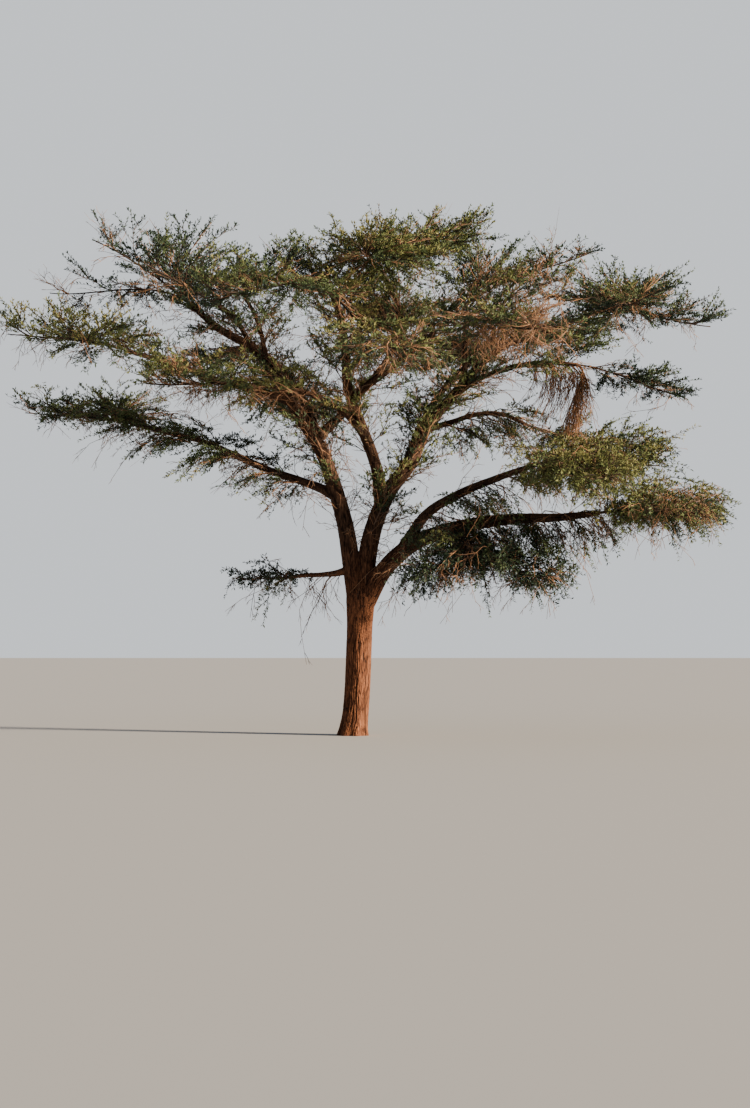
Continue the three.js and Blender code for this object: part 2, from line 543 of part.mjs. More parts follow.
for (const mass of MASSES) mass.dry = DRY_MASSES.includes(mass.name);
const spaces = MASSES.map(openSpace);
spaces.forEach((space, k) => spaces.slice(k + 1).forEach((other) => divide(space, other)));
const stems = MASSES.map((mass, k) =>
  stemOf(mass, spaces[k], limbs.get(mass.on), MASSES.filter((other) => other.on === mass.on)),
);
const obstacles = [
  ...[...limbs.values()].flatMap((limb) => probes(limb.name, limb)),
  ...MASSES.flatMap((mass, k) => probes(mass.name, stems[k])),
];
MASSES.forEach((mass, k) => {
  const solid = massSolid(mass, spaces[k], stems[k], obstacles, k + 1);
  tree.add(meshOf(mass.name, solid, mass.dry ? DRY : LEAF));
});

export default tree;
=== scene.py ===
# The looks of an umbrella thorn acacia: furrowed red-brown wood, fine knobbly twigs and flat, open layers of
# small leaves. Metres, +Z up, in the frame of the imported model. The tree is described from the ground up.
import math

import bpy
import numpy as np
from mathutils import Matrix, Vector


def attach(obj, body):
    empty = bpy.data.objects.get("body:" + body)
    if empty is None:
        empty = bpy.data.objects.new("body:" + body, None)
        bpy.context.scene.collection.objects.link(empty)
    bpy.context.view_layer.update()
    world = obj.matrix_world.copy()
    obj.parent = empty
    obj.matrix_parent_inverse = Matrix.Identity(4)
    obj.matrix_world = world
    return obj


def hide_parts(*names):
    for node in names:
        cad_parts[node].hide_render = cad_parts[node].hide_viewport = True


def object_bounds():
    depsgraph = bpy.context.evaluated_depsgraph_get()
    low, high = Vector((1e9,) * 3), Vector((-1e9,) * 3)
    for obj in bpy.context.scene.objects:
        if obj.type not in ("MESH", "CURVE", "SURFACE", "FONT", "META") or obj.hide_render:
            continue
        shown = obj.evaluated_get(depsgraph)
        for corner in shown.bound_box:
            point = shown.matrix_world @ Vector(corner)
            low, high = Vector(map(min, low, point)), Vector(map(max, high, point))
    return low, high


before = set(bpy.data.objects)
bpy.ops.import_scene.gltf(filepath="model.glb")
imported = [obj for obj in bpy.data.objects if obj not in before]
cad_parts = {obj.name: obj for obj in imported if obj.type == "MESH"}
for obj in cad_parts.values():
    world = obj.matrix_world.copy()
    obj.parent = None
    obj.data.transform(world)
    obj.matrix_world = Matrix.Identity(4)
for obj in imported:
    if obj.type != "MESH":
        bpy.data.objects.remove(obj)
solid_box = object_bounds()

# Routes of the limbs.
# The trunk forks at chest height into three main boughs, and every other bough grows out of one of those.
# All of them are crooked, and each is drawn through its bearings and rises from root to tip.
TRUNK_SPINE = [[0, 0, 0], [0.048, 0, 0.5], [0.082, 0.005, 1.34], [0.104, 0.01, 2.16]]
# Each row: a bough, the one that carries it, the share along that one where it leaves (for a main bough, the
# point where it starts), its length, its radii at root and tip, its bearings (degrees in plan, 0 to the
# right, 90 away) and its rises (degrees above level), both read at even stations from root to tip.
BOUGHS = [
    ["left", None, [0.05, 0.015, 1.84], 5.14, [0.132, 0.036],
     [178, 170, 172, 178, 182, 186, 186, 184, 182, 180, 178, 178, 176],
     [78, 84, 81, 76, 71, 69, 57, 57, 66, 44, 31, 31, 60]],
    ["right", None, [0.15, 0.03, 1.84], 3.86, [0.142, 0.052],
     [0, 20, 10, 4, 4, 6, 4, 0, 0], [88, 86, 76, 66, 54, 68, 50, 49, 48]],
    ["low_right", None, [0.17, -0.03, 1.86], 3.9, [0.13, 0.036],
     [345, 345, 338, 334, 332, 332, 334, 338], [66, 54, 26, 12, 8, 0, 0, 10]],
    ["left_inner", "left", 0.475, 2.15, [0.066, 0.034], [30, 42, 50, 50], [38, 42, 42, 48]],
    ["left_layer", "left", 0.6, 2.55, [0.052, 0.03],
     [200, 210, 210, 208, 206, 204], [24, 4, 14, 17, 10, 16]],
    ["left_low", "left", 0.31, 3.4, [0.06, 0.026],
     [165, 160, 160, 162, 164, 164], [24, 17, 24, 22, 12, 16]],
    ["left_upright", "left", 0.73, 1.05, [0.036, 0.024], [140, 140, 138, 130], [86, 74, 60, 45]],
    ["left_front", "left", 0.78, 1.3, [0.038, 0.026], [250, 255, 250, 240], [30, 24, 16, 10]],
    ["left_lowest", "left", 0.1, 0.9, [0.04, 0.024], [176, 178, 180, 172], [-20, -6, -2, -8]],
    ["back_left", "left", 0.4, 3.5, [0.062, 0.028], [110, 112, 116, 118], [52, 40, 30, 24]],
    ["centre", "right", 0.38, 3.95, [0.088, 0.034],
     [180, 185, 190, 262, 264, 260, 256], [88, 70, 70, 60, 38, 18, 8]],
    ["centre_left", "centre", 0.255, 2.15, [0.042, 0.024],
     [216, 214, 212, 212, 206], [50, 28, 14, 0, 4]],
    ["centre_right", "centre", 0.4, 1.8, [0.056, 0.032], [318, 316, 314, 318], [26, 24, 26, 28]],
    ["centre_top", "centre_right", 0.6, 1.25, [0.038, 0.026],
     [60, 90, 150, 160], [70, 76, 66, 66]],
    ["back_right", "right", 0.53, 3.5, [0.062, 0.028], [70, 64, 56, 50], [50, 42, 32, 24]],
    ["right_arch", "right", 0.7, 1.75, [0.042, 0.024], [30, 28, 26, 24], [14, 20, 2, -30]],
    ["right_upright", "right", 0.93, 0.95, [0.042, 0.028], [90, 80, 80], [78, 82, 80]],
    ["right_mid", "right", 0.82, 2.05, [0.038, 0.024],
     [345, 340, 345, 348, 350], [44, 28, 14, 2, -12]],
    ["right_high", "right", 1, 1.8, [0.044, 0.028], [350, 342, 340, 340], [52, 18, 16, 20]],
    ["low_right_upper", "low_right", 0.24, 2.35, [0.076, 0.034],
     [350, 340, 338, 336, 336], [78, 36, 24, 16, 18]],
    ["hanging", "low_right", 0.5, 0.62, [0.03, 0.024], [250, 270, 290], [20, -20, -50]],
]
LIMBS = {"bough_" + name: dict(carrier=carrier and "bough_" + carrier, at=at, length=length, radius=radius,
                               bearing=bearing, rise=rise)
         for name, carrier, at, length, radius, bearing, rise in BOUGHS}
MAIN_BOUGHS = [name for name, limb in LIMBS.items() if not limb["carrier"]]
LIMB_STEP = 0.56  # length of limb between two corners of its route
FEWEST_BENDS, LIMB_TAPER = 4, 0.85
CURVE_POINTS, ROUTE_POINTS = 33, 201  # places worked out between two corners, and kept along a route


def heading(bearing, rise):
    """The unit direction at a bearing in plan and a rise above level, in degrees. Either may be an array."""
    b, r = np.radians(bearing), np.radians(rise)
    return np.stack([np.cos(b) * np.cos(r), np.sin(b) * np.cos(r), np.sin(r) + 0 * b], -1)


def between(points, run, wanted):
    """The points of a line at wanted values of run, which has one value for each of its corners."""
    return np.stack([np.interp(wanted, run, column) for column in points.T], -1)


def evenly(line, count):
    """count points spaced evenly along a line of many points."""
    run = np.concatenate([[0], np.cumsum(np.linalg.norm(np.diff(line, axis=0), axis=1))])
    return between(line, run, np.linspace(0, run[-1], count))


def smooth_route(corners, count):
    """count points, evenly spaced, on a smooth curve through the corners: a cubic between every two, whose
    slopes come from the corners on both sides, weighted by the square roots of the distances."""
    corners = np.asarray(corners, float)
    p = np.vstack([2 * corners[0] - corners[1], corners, 2 * corners[-1] - corners[-2]])
    gap = np.sqrt(np.linalg.norm(np.diff(p, axis=0), axis=1))[:, None]
    before, here, after = gap[:-2], gap[1:-1], gap[2:]
    p0, p1, p2, p3 = p[:-3], p[1:-2], p[2:-1], p[3:]
    leave = ((p1 - p0) / before - (p2 - p0) / (before + here)) * here + (p2 - p1)
    arrive = ((p3 - p2) / after - (p3 - p1) / (here + after)) * here + (p2 - p1)
    u = np.linspace(0, 1, CURVE_POINTS)[:, None, None]
    fine = ((2 * u**3 - 3 * u**2 + 1) * p1 + (u**3 - 2 * u**2 + u) * leave
            + (3 * u**2 - 2 * u**3) * p2 + (u**3 - u**2) * arrive)
    return evenly(fine.transpose(1, 0, 2).reshape(-1, 3), count)


def at_share(route, share):
    """The points of an evenly spaced route at shares of its length."""
    return between(route, np.arange(len(route)), np.asarray(share, float) * (len(route) - 1))


for limb in LIMBS.values():
    carrier = LIMBS.get(limb["carrier"])
    start = at_share(carrier["route"], limb["at"]) if carrier else np.array(limb["at"])
    steps = max(FEWEST_BENDS, int(limb["length"] / LIMB_STEP + 0.5))
    share = (np.arange(steps) + 0.5) / steps
    bearing, rise = at_share(np.transpose([limb["bearing"], limb["rise"]]), share).T
    strides = heading(bearing, rise) * limb["length"] / steps
    limb["route"] = smooth_route(np.vstack([start, start + np.cumsum(strides, axis=0)]), ROUTE_POINTS)
    root, tip = limb["radius"]
    limb["radii"] = tip + (root - tip) * (1 - np.linspace(0, 1, ROUTE_POINTS)) ** LIMB_TAPER
trunk_route = smooth_route(TRUNK_SPINE, ROUTE_POINTS)

# Bark.
# Old wood has a red-brown, fibrous bark that splits into long upright ridges with dark furrows between them;
# their near-black colour is partly painted shade, and the lighter crests are partly painted highlight.
# It is a relief of the mesh, told to the material by the attribute "crest", 0 in a furrow and 1 on a ridge.
BARK_RELIEF = 0.11  # height of a ridge, as a share of the limb's radius
RELIEF_LEVEL = 0.62  # the height on a ridge that lies at the limb's own radius
BARK_RIDGE = [0.019, 0.25]  # width and length of one ridge on the trunk
FEWEST_RIDGES = 5
FIRST_ROW = 40  # row of the lattice at a limb's root, so that no row is below 0
RIDGE_WAVES = ((1, 0.7), (2, 0.3))  # scales of the random waves and how much each counts
RIDGE_WANDER = ((0.5, 0.9), (0.4, 2.3))  # how far ridges wander sideways, and how often in a row
RIDGE_STEEPNESS, RIDGE_ROUNDING = 3.2, 0.7
CROWN_SHADE_HEIGHTS = [1.7, 2.9]  # the heights between which the bark darkens, as painted shade of the crown
CROWN_SHADE_TINT = (0.45, 0.62, 0.8, 1)  # and the tint it has above them, darker and greyer than the trunk's: mostly painted shade of the crown, partly the greyer bark of old boughs
# The near-black furrow colour is partly painted shade, and the light crest colour partly painted highlight.
FURROW_SHADE_COLOUR = (0.01, 0.005, 0.003, 1)
BARK_COLOUR = (0.112, 0.042, 0.021, 1)
CREST_HIGHLIGHT_COLOUR = (0.325, 0.132, 0.061, 1)
FIBRE_SCALE, FIBRE_STRETCH, FIBRE_BUMP = 84, 0.09, 0.006
CREST_WEIGHT, FIBRE_WEIGHT, COLOUR_SHIFT = 0.62, 2.2, -1.08  # how ridges and fibres add up to the colour
PATCH_SCALE, PATCH_DARKEST = 3.2, 0.68


def ridges(around, along, radius, seed):
    """The height of the bark, from 0 in a furrow to 1 on a crest, at an angle around and a distance along a
    limb. Smooth random waves run between the knots of a lattice, whose cells are one ridge wide and long and
    wander sideways in two sine waves. A furrow is where the wave crosses zero."""
    rng = np.random.default_rng(seed)
    cells = max(FEWEST_RIDGES, int(2 * math.pi * radius / BARK_RIDGE[0]))
    height = np.zeros_like(around)
    for scale, weight in RIDGE_WAVES:
        columns = cells * scale
        row = along / (BARK_RIDGE[1] / scale) + FIRST_ROW
        knots = rng.uniform(-1, 1, (int(row.max()) + 3, columns))
        r0 = np.floor(row).astype(int)
        v = row - r0
        (slow, slow_rate), (quick, quick_rate) = RIDGE_WANDER
        wander = slow * np.sin(row * slow_rate) + quick * np.sin(row * quick_rate + seed)
        column = (around / (2 * math.pi) % 1) * columns + wander
        c0 = np.floor(column).astype(int)
        u = column - c0
        u, v = u * u * (3 - 2 * u), v * v * (3 - 2 * v)
        low = knots[r0, c0 % columns] * (1 - u) + knots[r0, (c0 + 1) % columns] * u
        high = knots[r0 + 1, c0 % columns] * (1 - u) + knots[r0 + 1, (c0 + 1) % columns] * u
        wave = np.minimum(1, RIDGE_STEEPNESS * np.abs(low * (1 - v) + high * v))
        height += weight * wave ** RIDGE_ROUNDING
    return height


def connect(node, values):
    """Gives inputs of a shader node a value each, or a link from another node's output."""
    for key, value in values.items():
        if isinstance(value, bpy.types.NodeSocket):
            node.id_data.links.new(value, node.inputs[key])
        else:
            node.inputs[key].default_value = value


def add_node(tree, kind, values, **settings):
    """A new shader node with its settings, and with the values or links of its inputs."""
    node = tree.nodes.new("ShaderNode" + kind)
    for key, value in settings.items():
        setattr(node, key, value)
    connect(node, values)
    return node


def bark_material():
    """Furrowed bark: the colour goes from furrow to ridge to crest with the relief, broken up by upright
    fibres; the near-black furrows are partly painted shade and the light crests partly painted highlight.
    Large patches of it are weathered, and above the fork it darkens, mostly as painted shade of the crown
    and partly as the greyer bark of old boughs. Its bump is fine and fibrous."""
    bark = bpy.data.materials.new("furrowed_bark")
    bark.use_nodes = True
    tree = bark.node_tree
    place = add_node(tree, "TexCoord", {}).outputs["Object"]
    stretched = add_node(tree, "Mapping", {"Vector": place, "Scale": (1, 1, FIBRE_STRETCH)}).outputs["Vector"]
    fibres = add_node(tree, "TexNoise", {
        "Vector": stretched, "Scale": FIBRE_SCALE, "Detail": 6, "Roughness": 0.62}).outputs["Fac"]
    patches = add_node(tree, "TexNoise", {"Vector": place, "Scale": PATCH_SCALE, "Detail": 3}).outputs["Fac"]
    crest = add_node(tree, "Attribute", {}, attribute_name="crest").outputs["Fac"]
    mixed = add_node(tree, "Math", {0: crest, 1: CREST_WEIGHT, 2: COLOUR_SHIFT}, operation="MULTIPLY_ADD")
    mixed = add_node(tree, "Math", {0: fibres, 1: FIBRE_WEIGHT, 2: mixed.outputs[0]},
                     operation="MULTIPLY_ADD")
    # From furrow to crest: the near-black furrows are partly painted shade, and the light crests partly
    # painted highlight.
    ramp = add_node(tree, "ValToRGB", {"Fac": mixed.outputs[0]})
    stops = ramp.color_ramp.elements
    stops[0].position, stops[0].color = 0.08, FURROW_SHADE_COLOUR
    stops[1].position, stops[1].color = 0.95, CREST_HIGHLIGHT_COLOUR
    stops.new(0.5).color = BARK_COLOUR
    # Above the fork the colour is multiplied down: mostly painted shade of the crown, partly greyer old bark.
    height = add_node(tree, "SeparateXYZ", {"Vector": place}).outputs["Z"]
    above = add_node(tree, "MapRange", {
        "Value": height, "From Min": CROWN_SHADE_HEIGHTS[0], "From Max": CROWN_SHADE_HEIGHTS[1]}).outputs["Result"]
    crown_shaded = add_node(tree, "Mix", {"Factor": above, 6: ramp.outputs["Color"], 7: CROWN_SHADE_TINT},
                      data_type="RGBA", blend_type="MULTIPLY").outputs[2]
    weather = add_node(tree, "MapRange", {
        "Value": patches, "From Min": 0.35, "From Max": 0.65, "To Min": PATCH_DARKEST}).outputs["Result"]
    colour = add_node(tree, "VectorMath", {0: crown_shaded, "Scale": weather}, operation="SCALE").outputs["Vector"]
    bump = add_node(tree, "Bump", {"Height": fibres, "Strength": 0.7, "Distance": FIBRE_BUMP})
    connect(tree.nodes["Principled BSDF"], {
        "Base Color": colour, "Roughness": 0.92, "Specular IOR Level": 0.15, "Normal": bump.outputs[0]})
    return bark


def placed(name, data):
    """A new object at the origin that shows a mesh, a light or a camera."""
    made = bpy.data.objects.new(name, data)
    bpy.context.scene.collection.objects.link(made)
    return made


def mesh_piece(name, points, quads=None, triangles=None, smooth=True):
    """One object from an array of points and arrays of the corners of its faces."""
    faces = [f for f in (quads, triangles) if f is not None and len(f)]
    corners = np.concatenate([f.ravel() for f in faces]).astype(np.int32)
    sizes = np.concatenate([np.full(len(f), f.shape[1]) for f in faces]).astype(np.int32)
    mesh = bpy.data.meshes.new(name)
    mesh.vertices.add(len(points))
    mesh.vertices.foreach_set("co", np.ascontiguousarray(points, np.float32).ravel())
    mesh.loops.add(len(corners))
    mesh.loops.foreach_set("vertex_index", corners)
    mesh.polygons.add(len(sizes))
    mesh.polygons.foreach_set("loop_start", (np.cumsum(sizes) - sizes).astype(np.int32))
    mesh.polygons.foreach_set("loop_total", sizes)
    mesh.polygons.foreach_set("use_smooth", np.full(len(sizes), smooth))
    mesh.update(calc_edges=True)
    mesh.validate()
    return placed(name, mesh)


STRAIGHT = 0.02  # a route that bends less than this share of its length counts as straight


def unit(vectors):
    """Each vector at a length of one."""
    return vectors / np.maximum(np.linalg.norm(vectors, axis=-1, keepdims=True), 1e-9)


def route_frames(routes):
    """Directions along, across and square to both at every point of each route. Across is square to a fixed
    direction: the one square to the plane that the route mostly bends in, or the nearest to it."""
    along = unit(np.gradient(routes, axis=-2))
    chord = routes[..., -1:, :] - routes[..., :1, :]
    overall = unit(chord)
    bend = np.cross(overall, routes[..., routes.shape[-2] // 2, None, :] - routes[..., :1, :])
    spare = np.cross(overall, np.where(np.abs(overall[..., 2:]) > 0.9, [1.0, 0, 0], [0, 0, 1.0]))
    bends = np.linalg.norm(bend, axis=-1) > STRAIGHT * np.linalg.norm(chord, axis=-1)
    across = unit(np.cross(along, unit(np.where(bends[..., None], bend, spare))))
    return along, across, np.cross(along, across)


def tubes(routes, radii, sides):
    """Round skins along routes (tubes, points, 3) of radii (tubes, points) or (tubes, points, sides). A ring
    of equal angles stands at each point, square to the route, joined to the next one by quads, and the far
    ring is closed by one face."""
    count, rings = routes.shape[:2]
    _, across, square = route_frames(routes)
    angle = 2 * math.pi * np.arange(sides) / sides
    radii = radii[..., None] if radii.ndim == 2 else radii
    offset = (np.cos(angle)[None, None, :, None] * across[:, :, None]
              + np.sin(angle)[None, None, :, None] * square[:, :, None])
    points = (routes[:, :, None] + offset * radii[..., None]).reshape(-1, 3)
    tube, ring, side = np.meshgrid(np.arange(count), np.arange(rings - 1), np.arange(sides), indexing="ij")
    here = (tube * rings + ring) * sides
    nxt = (side + 1) % sides
    quads = np.stack([here + side, here + nxt, here + sides + nxt, here + sides + side], -1).reshape(-1, 4)
    tips = (np.arange(count)[:, None] * rings + rings - 1) * sides + np.arange(sides)
    return points, quads, tips


# Trunk and fork.
# The trunk is one fluted post with a low flare of roots. It is cut flat at the ground, and swells at the
# fork, where the feet of the three main boughs grow together with it in one skin.
FOOT_RADIUS, WAIST_RADIUS = 0.218, 0.174
FLARE_FALL = 0.148  # height over which the flare falls to a third
FLUTES, FLUTE_DEPTH, FLUTE_REST, FLUTE_TWIST = 7, 0.06, 0.35, 2.2
FORK_SWELL, FORK_ROUND = 0.14, 0.4  # how much the post swells under the fork, and is drawn in at its top
SWELL_SPAN, ROUND_SPAN = (0.7, 0.9), (0.89, 1)  # and over which shares of its length
POST_LENGTH, FOOT_BELOW = 2.17, 0.06  # the post is built a little too deep, and then cut flat
FORK_STUB = 0.76  # length of the boughs' feet that belongs to this skin
POST_SIDES, STUB_SIDES = 72, 32
SKIN_CELL = 0.0078  # size of the faces of the skin
MELT, MELT_FACTOR = 9, 0.6  # rounds and strength of the smoothing that melts the boughs' feet together
WIDEST_RELIEF = 0.16  # the radius from which ridges get no higher
NEAR_FROM, NEAR_FALL = 0.6, 0.16  # how the ridges of one limb give way to another's, in shares of its radius
BARK_SEED = 11


def smoothstep(x, low, high):
    """0 below low, 1 above high, and a smooth S between them."""
    t = np.clip((x - low) / (high - low), 0, 1)
    return t * t * (3 - 2 * t)


def trunk_radius(share, angle):
    """The waist's radius, plus the flare that fades with height, the swelling under the fork and the flutes,
    a wave round the trunk that turns with height. The top is drawn in between the boughs."""
    height = np.linalg.norm(np.diff(trunk_route, axis=0), axis=1).sum()
    flare = np.exp(-share * height / FLARE_FALL)
    swell = FORK_SWELL * smoothstep(share, *SWELL_SPAN)
    closing = 1 - FORK_ROUND * smoothstep(share, *ROUND_SPAN)
    flute = FLUTE_DEPTH * (FLUTE_REST + flare) * np.cos(FLUTES * angle + FLUTE_TWIST * share)
    return (WAIST_RADIUS + (FOOT_RADIUS - WAIST_RADIUS) * flare) * (1 + swell + flute) * closing


def joined_skin(parts):
    """One even skin round tubes that cross, each given by its route and its radii at every ring and side.
    They are closed at both ends, joined by a voxel remesh and smoothed. Returned as points and quads."""
    points, faces = [], []
    for route, radii in parts:
        ring, quads, tips = tubes(route[None], radii[None], radii.shape[1])
        shell = quads.tolist() + [tips[0].tolist(), list(range(radii.shape[1]))[::-1]]
        faces += [[corner + len(points) for corner in face] for face in shell]
        points += ring.tolist()
    mesh = bpy.data.meshes.new("rough")
    mesh.from_pydata(points, [], faces)
    rough = placed("rough", mesh)
    remesh = rough.modifiers.new("skin", "REMESH")
    remesh.mode = "VOXEL"
    remesh.voxel_size = SKIN_CELL
    smooth = rough.modifiers.new("melt", "SMOOTH")
    smooth.factor = MELT_FACTOR
    smooth.iterations = MELT
    done = rough.evaluated_get(bpy.context.evaluated_depsgraph_get()).to_mesh()
    co = np.zeros(len(done.vertices) * 3, np.float32)
    done.vertices.foreach_get("co", co)
    quads = np.zeros(len(done.loops), np.int32)
    done.loops.foreach_get("vertex_index", quads)
    bpy.data.objects.remove(rough)
    return co.reshape(-1, 3).astype(float), quads.reshape(-1, 4)


def round_route(points, route):
    """Where each point lies about a route: the share along it, the angle around it and the distance out."""
    thin = route[::4]
    along, across, square = route_frames(thin)
    nearest = np.concatenate([
        np.argmin(((block[:, None] - thin[None]) ** 2).sum(-1), axis=1)
        for block in np.array_split(points, max(1, len(points) // 4000))])
    out = points - thin[nearest]
    angle = np.arctan2((out * square[nearest]).sum(-1), (out * across[nearest]).sum(-1))
    step = np.linalg.norm(route[-1] - route[0]) / (len(thin) - 1)
    share = (nearest + np.clip((out * along[nearest]).sum(-1) / step, -0.5, 0.5)) / (len(thin) - 1)
    return share, angle, np.linalg.norm(out, axis=-1)


def put_bark(piece, crest):
    """Gives a piece the bark, which reads at every point how high on a ridge it is."""
    piece.data.attributes.new("crest", "FLOAT", "POINT").data.foreach_set("value", crest.astype(np.float32))
    piece.data.update()
    piece.data.materials.append(bark)


even = np.linspace(0, 1, ROUTE_POINTS)
post_route = np.vstack([trunk_route[0] - FOOT_BELOW * unit(trunk_route[1] - trunk_route[0]), trunk_route])
post_angle = 2 * math.pi * np.arange(POST_SIDES) / POST_SIDES
post_share = np.concatenate([[0], even])
skin_parts = [(post_route, trunk_radius(post_share[:, None], post_angle[None]))]
main_boughs = [LIMBS[name] for name in MAIN_BOUGHS]
for limb in main_boughs:
    stub = int(FORK_STUB / limb["length"] * (ROUTE_POINTS - 1)) + 1
    radii = np.repeat(limb["radii"][:stub + 1, None], STUB_SIDES, axis=1)
    skin_parts.append((limb["route"][:stub + 1], radii))
skin_points, skin_quads = joined_skin(skin_parts)

post = dict(route=trunk_route, radii=np.full(ROUTE_POINTS, WAIST_RADIUS), length=POST_LENGTH)
feet = []
for seed, limb in enumerate([post] + main_boughs, start=BARK_SEED):
    share, angle, out = round_route(skin_points, limb["route"])
    here = np.interp(share, even, limb["radii"])
    feet.append([np.exp(-(np.maximum(out / here - NEAR_FROM, 0) / NEAR_FALL) ** 2) + 1e-9,
                 ridges(angle, share * limb["length"], limb["radii"][0], seed),
                 np.minimum(here, WIDEST_RELIEF) * BARK_RELIEF])
nearness, heights, reliefs = np.swapaxes(feet, 0, 1)
nearness = nearness / nearness.sum(0)
crest, relief = (nearness * heights).sum(0), (nearness * reliefs).sum(0)

trunk = mesh_piece("trunk_and_fork", skin_points, quads=skin_quads)
normals = np.zeros(len(skin_points) * 3, np.float32)
trunk.data.vertices.foreach_get("normal", normals)
skin_points += normals.reshape(-1, 3) * (relief * (crest - RELIEF_LEVEL))[:, None]
skin_points[:, 2] = np.maximum(skin_points[:, 2], 0)
trunk.data.vertices.foreach_set("co", skin_points.astype(np.float32).ravel())
bark = bark_material()
put_bark(trunk, crest)
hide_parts("trunk")
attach(trunk, "root")

# Boughs.
# Each bough is one tapering limb of the same bark, with smaller ridges as it thins. It widens into a collar
# where it leaves the limb that carries it.
COLLAR = 0.5  # how much wider the collar is, as a share of the bough's radius
WIDEST_COLLAR = 0.96  # its radius at most, as a share of the carrier's
BOUGH_FACE, FACE_LENGTH = 0.012, 1.6  # width of the faces, and how much longer they are
BOUGH_SIDES = [12, 44]
STUB_OVERLAP = 0.06  # how deep the main boughs start inside the skin of the fork
BOUGH_RELIEF = 1.1 * BARK_RELIEF
TIP_HEIGHT, TIP_CREST = 0.4, 0.6  # the point that closes a tip, and its bark


def merged(shells):
    """The points of many shells as one array, and so their quads and their triangles."""
    base = np.cumsum([0] + [len(points) for points, _, _ in shells])
    faces = [np.vstack([shell[kind] + first for shell, first in zip(shells, base)]) for kind in (1, 2)]
    return np.vstack([points for points, _, _ in shells]), *faces


shells, crests = [], []
for seed, (name, limb) in enumerate(LIMBS.items(), start=BARK_SEED + 1):
    sides = int(np.clip(2 * math.pi * limb["radius"][0] / BOUGH_FACE, *BOUGH_SIDES))
    rings = int(limb["length"] / (FACE_LENGTH * BOUGH_FACE))
    first = (FORK_STUB - STUB_OVERLAP) / limb["length"] if name in MAIN_BOUGHS else 0
    share = np.linspace(first, 1, rings)
    route = at_share(limb["route"], share)
    radius = np.interp(share, even, limb["radii"])
    if name not in MAIN_BOUGHS:
        wood = np.interp(limb["at"], even, LIMBS[limb["carrier"]]["radii"])
        radius = radius * (1 + COLLAR * np.exp(-np.maximum(share * limb["length"] - wood, 0) / wood))
        radius = np.minimum(radius, np.maximum(WIDEST_COLLAR * wood, limb["radius"][0]))
    _, angles, _ = round_route(tubes(route[None], radius[None], sides)[0], limb["route"])
    height = ridges(angles.reshape(rings, sides), np.repeat(share[:, None] * limb["length"], sides, 1),
                    limb["radius"][0], seed)
    bumps = radius[:, None] * (1 + BOUGH_RELIEF * (height - RELIEF_LEVEL))
    points, quads, tips = tubes(route[None], bumps[None], sides)
    tip = route[-1] + TIP_HEIGHT * radius[-1] * unit(route[-1] - route[-2])
    fan = np.stack([tips[0], np.roll(tips[0], -1), np.full(sides, len(points))], -1)
    shells.append((np.vstack([points, tip]), quads, fan))
    crests.append(np.append(height.ravel(), TIP_CREST))
boughs = mesh_piece("boughs", *merged(shells))
put_bark(boughs, np.concatenate(crests))
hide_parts(*LIMBS)
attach(boughs, "root")

# Spaces of the crown.
# Every mass of foliage fills an egg-shaped space of its own, cut by a flat wall wherever a neighbour comes
# close. It grows from one stem, out of its bough's tip.
DRY_MASS = "twigs_dry_column"  # the one mass without leaves
